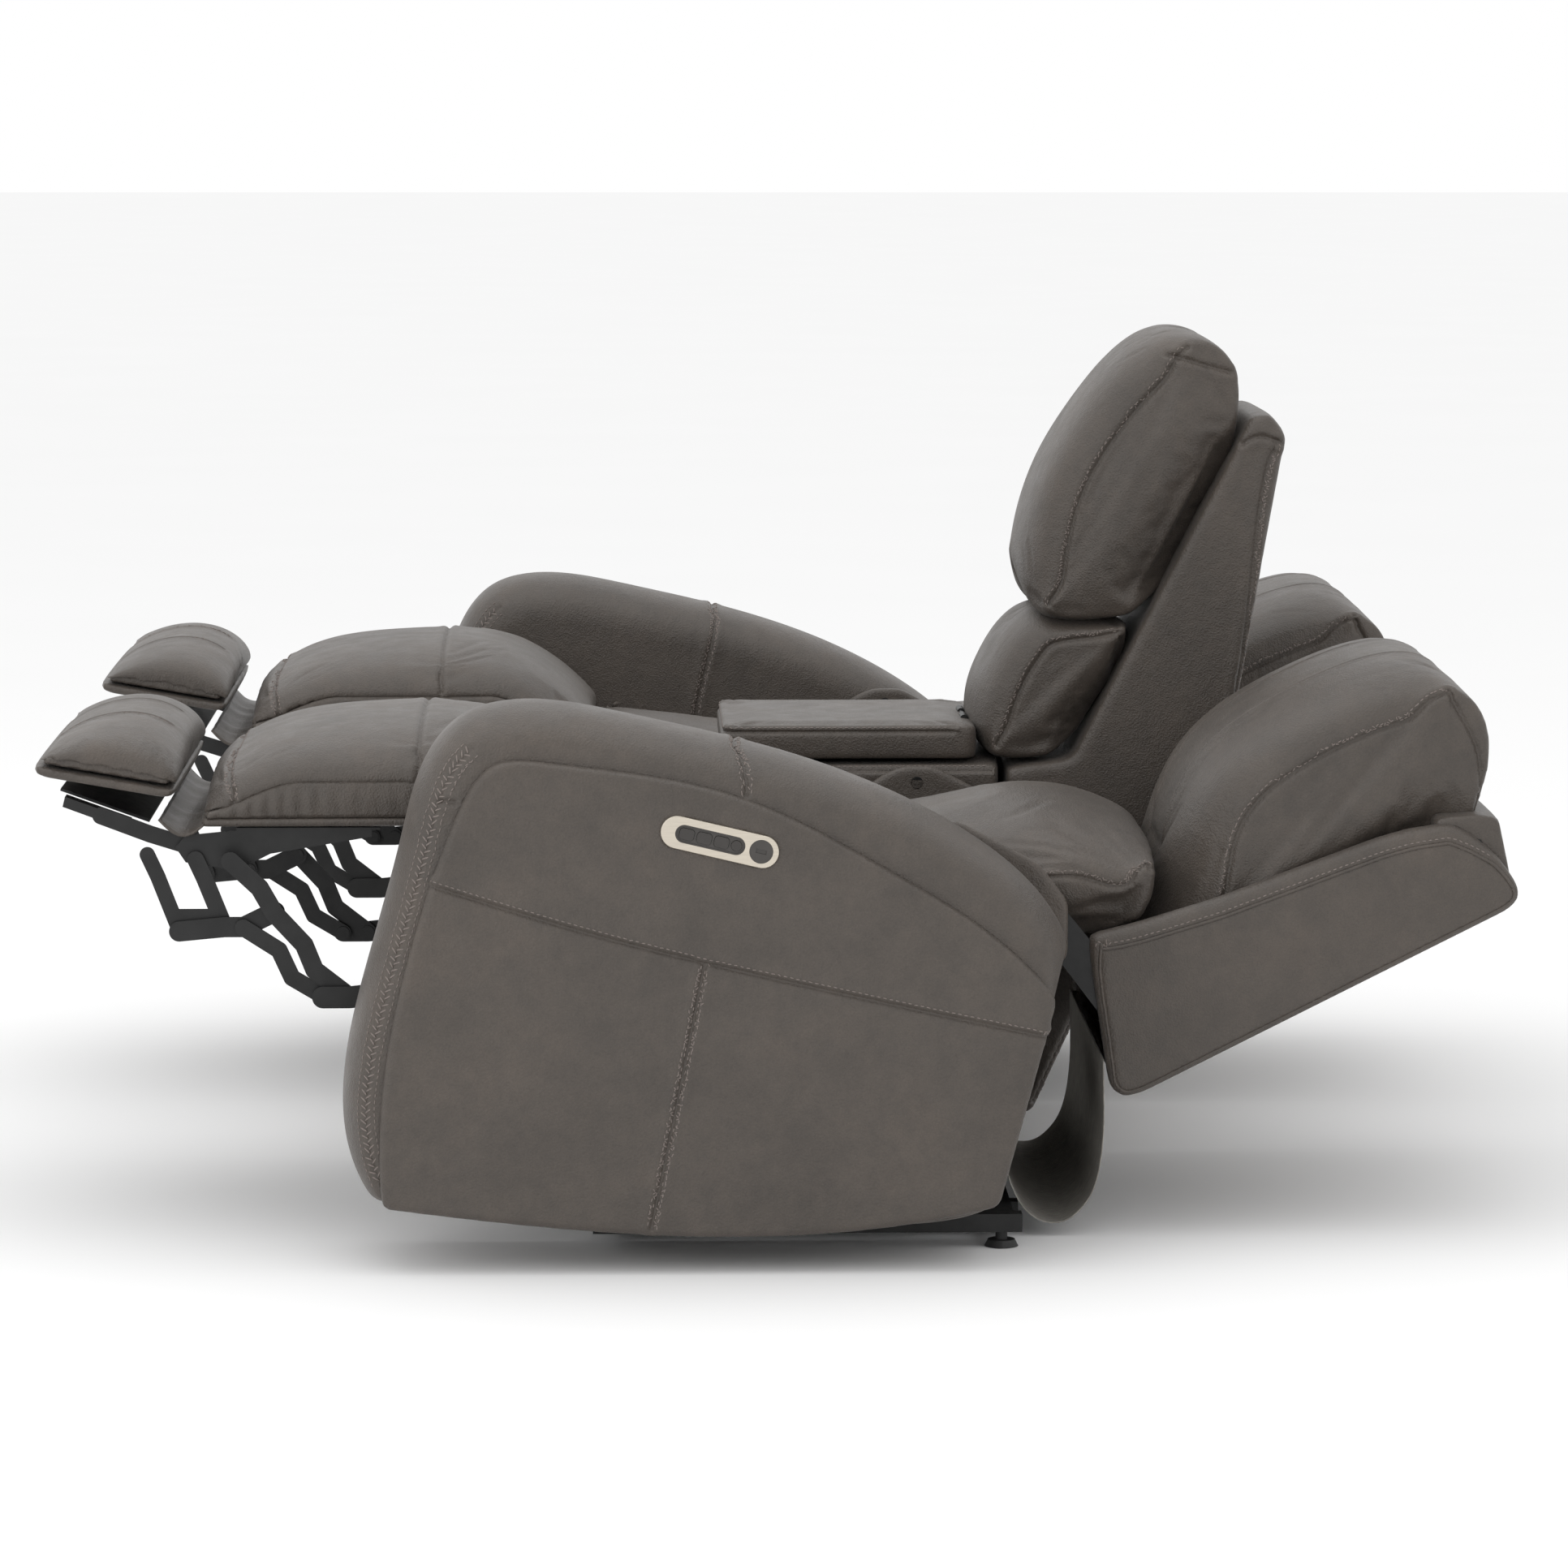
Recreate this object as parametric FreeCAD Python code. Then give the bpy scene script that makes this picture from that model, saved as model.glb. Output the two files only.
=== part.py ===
"""Two-seat power reclining loveseat with a centre console, in the reclined pose.

Frame: +X to the sitter's left, -Y to the front, +Z up, origin on the floor in the middle of the
whole object's box. Everything is in millimetres. The left seat is modelled and the right one mirrors it.
"""

import math
import os

import FreeCAD
import Part


V = FreeCAD.Vector
os.makedirs("parts", exist_ok=True)

# ---------------------------------------------------------------- driving dimensions
HALF_WIDTH = 990.0          # half of the overall width
ARM_INNER = 780.0           # inner face of an arm
PANEL = 9.0                 # raised side panel on the arm's outer face
SEAT_IN, SEAT_OUT = 212.0, 754.0        # soft parts of one seat, across
SEAT_MID = (198.0 + 768.0) / 2          # centre of one seat and its two mechanisms
CONSOLE_HALF = 180.0
DECK_Z = 501.0              # console top deck
LEG_TOP = 340.0             # top of the plates' legs
SPRING_Z = 362.5            # seat springs, under the cushion
GLIDE_H = 18.0              # glides under the base
RAIL_H = 21.5               # base rail height
FRONT_RAIL_Y, REAR_RAIL_Y = -205.0, 262.0               # cross rails of the base
RUNNER_IN_X, RUNNER_OUT_X, ARM_RUNNER_X = 225.0, 740.0, 820.0

BACK_PIVOT = (190.0, 478.0)             # recline axis, (Y, Z)
SWEEP_R = 279.0                         # the back keeps outside this radius, the seat inside it
FOLD_PIVOT = (-425.0, 475.0)            # leg-rest fold axis at the seat's front edge
FLAP_PIVOT = (-691.0, 465.0)            # flap axis

# pivots of the leg-rest linkage, (Y, Z), leg rest open
CRANK_PIVOT = (-313.0, 400.0)
MAIN_FOOT = (-507.0, 290.0)
SIDE_FOOT = (-538.0, 290.0)
MAIN_CROSS = (-595.0, 390.0)
SIDE_CROSS = (-632.0, 372.0)
DROP_FOOT = (-655.0, 372.0)
FLAP_FOOT = (-708.0, 367.0)
MAIN_HEAD = (-646.0, 452.0)

# stack of the flat links, counted inwards from the plate beside the arm
PLATE_X = 766.0
PITCH = 5.5
STEEL = 3.0
PIN_R = 4.0
PIN_PLAY = 0.05
HEAD_R = 8.0
HEAD_H = 1.6

# control panel on the arm's outer face
PANEL_CENTRE = (-72.5, 503.0)
PANEL_TILT = -13.3
BEZEL_L, BEZEL_W, BEZEL_T = 138.0, 37.5, 3.5
TRAY_L, TRAY_W, TRAY_AT = 82.0, 21.0, -11.3
USB_R, USB_AT = 13.75, 48.6
KEY_L, KEY_W, KEY_PITCH, KEY_FIRST = 17.0, 13.0, 20.4, -38.8
SMALL_KEY_R, SMALL_KEY_AT = 6.0, 19.5
KEY_PROUD = 0.8
KEY_PLAY = 0.35
KEY_SINK = 6.0

# console lid and bin
LID_FRONT, LID_REAR, LID_HALF, LID_T = -58.0, 252.0, 165.0, 46.0
BIN_FRONT, BIN_REAR, BIN_HALF, BIN_FLOOR = -35.0, 215.0, 130.0, 200.0
LID_PIVOT = (258.0, 544.0)
CUP_Y, CUP_X, CUP_R, CUP_DEPTH = -150.0, 78.0, 42.0, 72.0


# ---------------------------------------------------------------- helpers
def yz(p, x=0.0):
    """A (Y, Z) pair as a point in the plane at x."""
    return V(x, p[0], p[1])


def slab(points, x0, x1):
    """Straight-edged outline in the YZ plane, extruded from x0 to x1."""
    wire = Part.makePolygon([yz(p, x0) for p in points + points[:1]])
    return Part.Face(wire).extrude(V(x1 - x0, 0, 0))


def loop(edges_of, x0, x1):
    """Mixed outline: each item is a list of points; two are a line, more are a smooth curve."""
    edges = []
    for points in edges_of:
        if len(points) == 2:
            edges.append(Part.LineSegment(yz(points[0], x0), yz(points[1], x0)).toShape())
        else:
            curve = Part.BSplineCurve()
            curve.interpolate([yz(p, x0) for p in points])
            edges.append(curve.toShape())
    wire = Part.Wire(Part.__sortEdges__(edges))
    return Part.Face(wire).extrude(V(x1 - x0, 0, 0))


def block(x0, x1, y0, y1, z0, z1):
    return Part.makeBox(x1 - x0, y1 - y0, z1 - z0, V(x0, y0, z0))


def rod(p, x0, x1, r):
    """Cylinder along X through the (Y, Z) point p."""
    return Part.makeCylinder(r, x1 - x0, yz(p, x0), V(1, 0, 0))


def fuse(shapes):
    shape = shapes[0]
    if len(shapes) > 1:
        shape = shape.fuse(shapes[1:])
    return shape.removeSplitter()


def mirror(shape):
    return shape.mirror(V(0, 0, 0), V(1, 0, 0))


def mirror_in_seat(shape):
    """The same piece on the console side of the left seat."""
    return shape.mirror(V(SEAT_MID, 0, 0), V(1, 0, 0))


def polar(centre, r, degrees):
    a = math.radians(degrees)
    return (centre[0] + r * math.cos(a), centre[1] + r * math.sin(a))


def arc(centre, r, start, end, n=5):
    """Points along an arc, for a smooth curve through them."""
    return [polar(centre, r, start + (end - start) * i / (n - 1)) for i in range(n)]


def flat_link(points, width, plane, holes=()):
    """Flat steel link through the points, with round ends, in the numbered plane of the stack."""
    x1 = PLATE_X + STEEL / 2 - plane * PITCH
    x0 = x1 - STEEL
    r = width / 2
    bits = []
    for a, b in zip(points, points[1:]):
        dy, dz = b[0] - a[0], b[1] - a[1]
        n = math.hypot(dy, dz)
        oy, oz = -dz / n * r, dy / n * r
        corners = [(p[0] + k * oy, p[1] + k * oz) for p, k in ((a, 1), (b, 1), (b, -1), (a, -1))]
        bits.append(slab(corners, x0, x1))
    bits += [rod(p, x0, x1, r) for p in points]
    shape = fuse(bits)
    for p in holes:
        shape = shape.cut(rod(p, x0 - 1, x1 + 1, PIN_R + PIN_PLAY))
    return shape


def rivet(p, parent, child):
    """Rivet fixed in the parent's plane, with its head beyond the child's plane."""
    x_parent = PLATE_X - parent * PITCH
    x_far = PLATE_X - child * PITCH - STEEL / 2 - 0.4
    shank = rod(p, x_far, x_parent, PIN_R)
    head = rod(p, x_far - HEAD_H, x_far, HEAD_R)
    return shank.fuse(head)


def stud_head(p, plane):
    """Bolt head on the inward face of a link."""
    x = PLATE_X - plane * PITCH - STEEL / 2
    return rod(p, x - HEAD_H, x + 0.5, HEAD_R)


def both_sides(shape):
    """The outer piece and its twin on the console side of the seat, as two separate solids."""
    return Part.makeCompound([shape, mirror_in_seat(shape)])


def save(shape, name):
    if not shape.isValid():
        print("invalid shape:", name)
    shape.exportStep("parts/%s.step" % name)
    solids = shape.Solids
    print("%-24s %2d solids %9.1f cm3" % (name, len(solids), sum(s.Volume for s in solids) / 1000))


def save_pair(shape, name):
    """A piece of the left seat or arm, and its mirror image on the right."""
    save(shape, "left_" + name)
    save(mirror(shape), "right_" + name)


def save_twins(shape, name):
    """Identical fixed pieces on both sides of the object, in one node."""
    save(Part.makeCompound(shape.Solids + mirror(shape).Solids), name)


# ---------------------------------------------------------------- base
def base():
    """Welded base: two cross rails, with a runner under each mechanism and each arm between them."""
    z0, z1 = GLIDE_H, GLIDE_H + RAIL_H
    end = ARM_RUNNER_X + 12
    bits = [block(-end, end, y - 15, y + 15, z0, z1) for y in (FRONT_RAIL_Y, REAR_RAIL_Y)]
    for x in (RUNNER_IN_X, RUNNER_OUT_X, ARM_RUNNER_X):
        for s in (-1, 1):
            bits.append(block(s * x - 12, s * x + 12, FRONT_RAIL_Y + 15, REAR_RAIL_Y - 15, z0, z1))
            bits.append(block(s * x - 12, s * x + 12, REAR_RAIL_Y + 15, REAR_RAIL_Y + 24, z0, z1))
    save(Part.makeCompound(bits), "base_rails")
    glides = []
    places = ((265.0, FRONT_RAIL_Y), (700.0, FRONT_RAIL_Y), (265.0, REAR_RAIL_Y), (ARM_RUNNER_X, REAR_RAIL_Y))
    for x, y in places:
        for s in (-1, 1):
            foot = Part.makeCone(20, 16, 8, V(s * x, y, 0))
            stem = Part.makeCylinder(7, GLIDE_H - 8, V(s * x, y, 8))
            glides.append(foot.fuse(stem).removeSplitter())
    save(Part.makeCompound(glides), "glide_feet")


# ---------------------------------------------------------------- arms
ARM_FRONT_TOP = [(-476, 78), (-506, 145), (-508, 230), (-487, 330), (-440, 500), (-412, 590), (-372, 637),
                 (-310, 655), (-180, 639), (-42, 607), (100, 560), (219, 498), (300, 430), (334, 375)]
ARM_REAR = [(334, 375), (254, 74)]
ARM_BOTTOM = [(254, 74), (225, 60), (100, 48), (-4, 42.5), (-154, 43), (-330, 58), (-476, 78)]
ARM_CORE = [(-430, 115), (-450, 230), (-390, 500), (-340, 590), (-290, 612), (80, 525), (270, 385),
            (205, 100)]


def inset(points, d):
    """Outline pulled in towards its middle by d."""
    cy = sum(p[0] for p in points) / len(points)
    cz = sum(p[1] for p in points) / len(points)
    out = []
    for y, z in points:
        n = math.hypot(y - cy, z - cz)
        out.append((y - (y - cy) / n * d, z - (z - cz) / n * d))
    return out


def panel_axis_x(shape):
    """Moves a piece drawn flat about the origin, Y along the panel and X outwards, onto the left arm."""
    shape.rotate(V(0, 0, 0), V(1, 0, 0), PANEL_TILT)
    shape.translate(V(0, PANEL_CENTRE[0], PANEL_CENTRE[1]))
    return shape


def capsule(x0, x1, length, width, at=0.0):
    """Round-ended plate in the panel's own plane, centred at a distance along it."""
    half = (length - width) / 2
    r = width / 2
    body = block(x0, x1, at - half, at + half, -r, r)
    return fuse([body, rod((at - half, 0), x0, x1, r), rod((at + half, 0), x0, x1, r)])


def key(x0, x1, at, grow=0.0):
    """Oblong push button, with round corners."""
    body = block(x0, x1, at - KEY_L / 2 - grow, at + KEY_L / 2 + grow, -KEY_W / 2 - grow, KEY_W / 2 + grow)
    edges = [e for e in body.Edges if abs(e.Length - (x1 - x0)) < 1e-6 and abs(e.tangentAt(0).x) > 0.9]
    return body.makeFillet(4.0 + grow, edges)


def arm():
    """Wooden arm frame, its padded cover, the raised side panel and the control panel."""
    x_face = HALF_WIDTH - PANEL
    cover = loop([ARM_FRONT_TOP, ARM_REAR, ARM_BOTTOM], ARM_INNER, x_face)
    core = slab(ARM_CORE, ARM_INNER + 28, x_face - 28)
    cover = cover.cut(core)
    hollow = slab(inset(ARM_CORE, 60), ARM_INNER + 46, x_face - 46)
    frame = slab(inset(ARM_CORE, 0.5), ARM_INNER + 28.5, x_face - 28.5).cut(hollow)
    window = slab(inset(ARM_CORE, 60), ARM_INNER, x_face - 46)
    frame = frame.cut(window)
    save_twins(frame, "arm_frames")

    seam = [(-462, 77), (-455, 256), (-418, 410), (-376, 528), (-330, 592), (-270, 594), (-42, 551),
            (126, 466), (219, 409), (316, 318)]
    panel = loop([seam, [(316, 318), (250, 76)], [(250, 76), (100, 50), (-154, 45), (-462, 77)]],
                 x_face, HALF_WIDTH)
    pocket_depth = KEY_SINK + 3
    well = capsule(HALF_WIDTH - pocket_depth, HALF_WIDTH + 1, BEZEL_L - 12, BEZEL_W - 6)
    panel = panel.cut(panel_axis_x(well.copy()))
    cover = cover.cut(panel_axis_x(well.copy()))
    save_pair(cover, "arm_cover")
    save_pair(panel, "side_panel")

    bezel = capsule(HALF_WIDTH, HALF_WIDTH + BEZEL_T, BEZEL_L, BEZEL_W)
    bezel = bezel.makeFillet(1.2, [e for e in bezel.Edges if min(v.X for v in e.Vertexes) > HALF_WIDTH + 1])
    bezel = bezel.cut(capsule(HALF_WIDTH - 1, HALF_WIDTH + 9, TRAY_L, TRAY_W, TRAY_AT))
    bezel = bezel.cut(rod((USB_AT, 0), HALF_WIDTH - 1, HALF_WIDTH + 9, USB_R))
    save_twins(panel_axis_x(bezel), "switch_bezels")

    floor_x = HALF_WIDTH - KEY_SINK
    rim_x = HALF_WIDTH + 2.4
    tray = capsule(floor_x - 2, rim_x, TRAY_L - 0.1, TRAY_W - 0.1, TRAY_AT)
    tray = tray.cut(capsule(rim_x - 1.4, rim_x + 1, TRAY_L - 3, TRAY_W - 3, TRAY_AT))
    for i in range(3):
        tray = tray.cut(key(floor_x, rim_x + 1, KEY_FIRST + i * KEY_PITCH, KEY_PLAY))
    tray = tray.cut(rod((SMALL_KEY_AT, 0), floor_x, rim_x + 1, SMALL_KEY_R + KEY_PLAY))
    usb = rod((USB_AT, 0), floor_x - 2, HALF_WIDTH + 2.9, USB_R - 0.05)
    usb = usb.cut(block(HALF_WIDTH + 1.5, HALF_WIDTH + 4, USB_AT - 6.2, USB_AT + 6.2, -2.4, 2.4))
    save_twins(panel_axis_x(Part.makeCompound([tray, usb])), "switch_inserts")

    x0 = HALF_WIDTH - 3.4
    x1 = rim_x + KEY_PROUD - 0.6
    for i, name in enumerate(("raise_button", "lower_button", "head_button")):
        save_pair(panel_axis_x(key(x0, x1, KEY_FIRST + i * KEY_PITCH)), name)
    save_pair(panel_axis_x(rod((SMALL_KEY_AT, 0), x0, x1, SMALL_KEY_R)), "home_button")


# ---------------------------------------------------------------- console
def console():
    """Padded console box with a storage bin, cup holders, a hinged lid and a fixed upright back."""
    outline = [(300, 42), (300, DECK_Z), (-372, DECK_Z), (-412, 484), (-432, 440), (-432, 42)]
    body = slab(outline, -CONSOLE_HALF, CONSOLE_HALF)
    body = body.cut(block(-BIN_HALF, BIN_HALF, BIN_FRONT, BIN_REAR, BIN_FLOOR, DECK_Z + 1))
    for s in (-1, 1):
        well = Part.makeCylinder(CUP_R + 2.2, CUP_DEPTH + 3, V(s * CUP_X, CUP_Y, DECK_Z - CUP_DEPTH - 2))
        body = body.cut(well)
    save(body, "console_body")

    cups = []
    for s in (-1, 1):
        centre = V(s * CUP_X, CUP_Y, DECK_Z - CUP_DEPTH)
        cup = Part.makeCylinder(CUP_R + 2, CUP_DEPTH + 1, centre)
        cup = cup.fuse(Part.makeCylinder(CUP_R + 7, 2.5, V(s * CUP_X, CUP_Y, DECK_Z)))
        cup = cup.cut(Part.makeCylinder(CUP_R, CUP_DEPTH + 9, centre + V(0, 0, 2)))
        cups.append(cup.removeSplitter())
    save(Part.makeCompound(cups), "cup_holders")

    lid = block(-LID_HALF, LID_HALF, LID_FRONT, LID_REAR, DECK_Z + 2, DECK_Z + 2 + LID_T)
    lid = lid.makeFillet(9.0, [e for e in lid.Edges if min(v.Z for v in e.Vertexes) > DECK_Z + LID_T])
    plug = block(-BIN_HALF + 6, BIN_HALF - 6, BIN_FRONT + 10, BIN_REAR - 25, DECK_Z - 8, DECK_Z + 3)
    knuckle = rod(LID_PIVOT, -20, 20, 5.0)
    tongue = block(-20, 20, LID_REAR - 3, LID_PIVOT[0], LID_PIVOT[1] - 4.0, LID_PIVOT[1] + 4.0)
    clear = rod(LID_PIVOT, -61, 61, 6.0)
    bore = rod(LID_PIVOT, -21, 21, 2.5 + PIN_PLAY)
    lid = fuse([lid, plug]).cut(clear)
    save(fuse([lid, tongue, knuckle]).cut(bore), "console_lid")

    y, z = LID_PIVOT
    leaf = block(-60, 60, y + 1.0, y + 5.0, DECK_Z, z)
    leaf = leaf.cut(rod(LID_PIVOT, -20.5, 20.5, 6.5))
    foot = block(-60, 60, y + 1.0, y + 14.0, DECK_Z, DECK_Z + 2.5)
    ends = [rod(LID_PIVOT, a, b, 5.0) for a, b in ((-60, -20.4), (20.4, 60))]
    save(fuse([leaf, foot, rod(LID_PIVOT, -60, 60, 2.5)] + ends), "lid_hinge")

    side = [(305, 42), (305, 494), (389, 505), (599, 907), (612, 940), (640, 946), (663, 918), (575, 420),
            (400, 172), (340, 42)]
    rear = [(640, 945), (663, 918), (575, 420), (400, 172), (340, 42), (325, 42), (386, 180), (560, 428),
            (644, 905)]
    half = CONSOLE_HALF - 10
    wings = [slab(side, -half, -half + 22), slab(side, half - 22, half), slab(rear, -half + 22, half - 22)]
    save(Part.makeCompound(wings), "console_wings")

    x = CONSOLE_HALF - 34
    post = slab([(324, 60), (372, 180), (545, 440), (632, 880), (612, 880), (522, 442), (350, 195),
                 (307, 60)], 0, 30)
    posts = []
    for at in (-x, x - 30):
        piece = post.copy()
        piece.translate(V(at, 0, 0))
        posts.append(piece)
    rails = [block(-x + 29, x - 29, a, a + 14, c, c + 60) for a, c in ((353, 180), (540, 470), (600, 790))]
    save(fuse(posts + rails), "console_back_frame")

    half = CONSOLE_HALF - 15
    lumbar = loop([[(285, 512), (268, 540), (270, 580), (290, 625), (322, 662), (352, 676)],
                   [(352, 676), (440, 670)], [(440, 670), (360, 512)], [(360, 512), (285, 512)]], -half, half)
    lumbar = lumbar.cut(slab([(366, 500), (600, 945), (700, 900), (500, 480)], -half - 1, half + 1))
    save(lumbar, "console_lumbar_pillow")
    upper = loop([[(347, 682), (334, 705), (334, 786), (358, 868), (409, 952), (460, 1012), (512, 1043),
                   (560, 1036), (590, 1012), (600, 985)], [(600, 985), (600, 936)],
                  [(600, 936), (466, 682)], [(466, 682), (347, 682)]], -half, half)
    save(upper, "console_upper_pillow")


# ---------------------------------------------------------------- seat
def seat():
    """Seat frame with its springs and cushion, and the bridging pad at its front."""
    z0, z1 = SPRING_Z - 46, SPRING_Z - 8
    rails = [block(x, x + 26, -324, 304, z0, z1) for x in (SEAT_IN, SEAT_OUT - 26)]
    rails += [block(SEAT_IN, SEAT_OUT, y, y + 26, z0, z1) for y in (-350, 304)]
    clips = [block(SEAT_IN + 60, SEAT_OUT - 60, y, y + 12, z1, SPRING_Z - 2.2) for y in (-344, 312)]
    save_twins(Part.makeCompound(rails + clips), "seat_frames")

    springs = []
    z = SPRING_Z
    for i in range(5):
        x = SEAT_IN + 80 + i * (SEAT_OUT - SEAT_IN - 160) / 4
        turns = 13
        bits = []
        for k in range(turns):
            y = -338 + k * 51.0
            side = 24 if k % 2 else -24
            bits.append(Part.makeCylinder(2.0, 48, V(x - 24, y, z), V(1, 0, 0)))
            if k < turns - 1:
                bits.append(Part.makeCylinder(2.0, 51, V(x + side, y, z), V(0, 1, 0)))
                bits.append(Part.makeSphere(2.0, V(x + side, y, z)))
                bits.append(Part.makeSphere(2.0, V(x + side, y + 51, z)))
        springs.append(fuse(bits))
    save_twins(Part.makeCompound(springs), "seat_springs")

    r = SWEEP_R - 5
    rear = arc(BACK_PIVOT, r, -24, -4)
    top = [rear[-1], (430, 478), (365, 500), (290, 496), (200, 474), (80, 462), (-60, 470), (-150, 488),
           (-213, 500)]
    cushion = loop([top, [(-213, 500), (-213, 366)], [(-213, 366), rear[0]], rear],
                   SEAT_IN + 14, SEAT_OUT - 14)
    front = [(-217, 500), (-240, 530), (-290, 572), (-350, 600), (-421, 613)]
    bridge = loop([front, [(-421, 613), (-421, 448)], [(-421, 448), (-370, 430)], [(-370, 430), (-217, 430)],
                   [(-217, 430), (-217, 500)]], SEAT_IN, SEAT_OUT)
    save_pair(Part.makeCompound([cushion, bridge]), "seat_cushion")


def mechanism():
    """Side plates that stand on the base and carry the seat, the leg rest and the back."""
    plate = [(-345, 300), (-345, 425), (-285, 425), (40, 404), (158, 486), (172, 493), (208, 493),
             (214, 468), (150, 300), (60, 262)]
    x1 = PLATE_X + STEEL / 2
    z0 = GLIDE_H + RAIL_H
    shape = fuse([slab(plate, x1 - STEEL, x1), rivet(CRANK_PIVOT, 0, 1), rivet(BACK_PIVOT, 0, 1)])
    bits = [shape, mirror_in_seat(shape)]
    for y in (FRONT_RAIL_Y + 15, 90.0):
        leg = block(x1 - STEEL, x1, y, y + 40, z0, LEG_TOP).cut(shape)
        foot = block(x1 - 38, x1 - STEEL, y, y + 40, z0, z0 + STEEL)
        bits += [leg, foot, mirror_in_seat(leg), mirror_in_seat(foot)]
    save_twins(Part.makeCompound(bits), "mechanism_plates")


def crank():
    """Crank from the side plate down to the feet of the main and side links."""
    bent = (-450.0, 296.0)
    shape = flat_link([CRANK_PIVOT, (-400.0, 330.0), bent, MAIN_FOOT, SIDE_FOOT], 26, 1, [CRANK_PIVOT])
    return fuse([shape, rivet(MAIN_FOOT, 1, 2), rivet(SIDE_FOOT, 1, 3)])


def leg_links():
    """Cranks joined by a torque tube, main links, side links, cross links and drop links."""
    arm_crank = crank()
    y, z = CRANK_PIVOT
    inner_x = PLATE_X - PITCH - STEEL / 2
    tube = block(2 * SEAT_MID - inner_x, inner_x, y - 13, y + 13, z - 13, z + 13)
    for x in (inner_x, 2 * SEAT_MID - inner_x):
        tube = tube.cut(rod(CRANK_PIVOT, x - 4, x + 4, HEAD_R + 1))
    save_pair(fuse([arm_crank, mirror_in_seat(arm_crank), tube]), "cranks")

    bends = [MAIN_FOOT, (-548, 322), (-560, 352), MAIN_CROSS, (-612, 420), MAIN_HEAD]
    main = flat_link(bends, 22, 2, [MAIN_FOOT])
    main = fuse([main, rivet(MAIN_CROSS, 2, 4), stud_head(MAIN_HEAD, 2)])
    save_pair(both_sides(main), "main_links")
    side = flat_link([SIDE_FOOT, (-575, 312), (-590, 345), SIDE_CROSS], 20, 3, [SIDE_FOOT])
    save_pair(both_sides(side), "side_links")
    cross = flat_link([MAIN_CROSS, SIDE_CROSS, DROP_FOOT, FLAP_FOOT], 24, 4, [MAIN_CROSS])
    cross = fuse([cross, rivet(DROP_FOOT, 4, 5)])
    save_pair(both_sides(cross), "cross_links")
    drop = flat_link([DROP_FOOT, (-678, 430), (-688, 452)], 20, 5, [DROP_FOOT])
    flap_bar = flat_link([FLAP_FOOT, (-733, 432), (-745, 458)], 18, 5)
    tie = flat_link([(-672, 385), (-712, 385)], 16, 5)
    save_pair(both_sides(fuse([drop, flap_bar, tie])), "drop_links")


def leg_rest():
    """Padded board on its brackets, and the padded flap beyond it."""
    board_z = 489.0
    board = block(SEAT_IN, SEAT_OUT, -683, FOLD_PIVOT[0] - 7, board_z, board_z + 17)
    save_pair(board, "legrest_board")
    x6 = PLATE_X - 6 * PITCH
    web = slab([(-700, 448), (-712, 466), (-700, 480), (-640, board_z - 3), (-480, board_z - 3), (-480, 478),
                (-600, 458), (-640, 438)], x6 - STEEL / 2, x6 + STEEL / 2)
    flange = block(x6 - 22, x6 + STEEL / 2, -640, -470, board_z - 3, board_z)
    bracket = fuse([web, flange, rivet(FLAP_PIVOT, 6, 7)])
    save_pair(both_sides(bracket), "legrest_brackets")
    top = [(-434, 613), (-500, 609), (-580, 599), (-640, 577), (-672, 546), (-684, 507)]
    pad = loop([top, [(-684, 507), (-434, 507)], [(-434, 507), (-434, 613)]], SEAT_IN, SEAT_OUT)
    save_pair(pad, "legrest_pad")

    arm_link = flat_link([FLAP_PIVOT, (-742, 481), (-800, 503)], 20, 7, [FLAP_PIVOT])
    x7 = PLATE_X - 7 * PITCH
    ear = slab([(-845, 514), (-770, 486), (-765, 498), (-842, 526)], x7 - 24, x7 + STEEL / 2)
    plate = slab([(-850, 530), (-745, 492), (-744, 495), (-849, 533)], 2 * SEAT_MID - x7 + 26, x7 - 26)
    arm_link = fuse([arm_link, ear])
    save_pair(fuse([arm_link, mirror_in_seat(arm_link), plate]), "flap_frame")
    crown = [(-716, 514), (-704, 540), (-710, 576), (-744, 603), (-800, 607), (-848, 589), (-876, 562),
             (-881, 551)]
    flap = loop([crown, [(-881, 551), (-850, 536)], [(-850, 536), (-744, 498)], [(-744, 498), (-716, 514)]],
                SEAT_IN, SEAT_OUT)
    save_pair(flap, "flap_pad")


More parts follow.
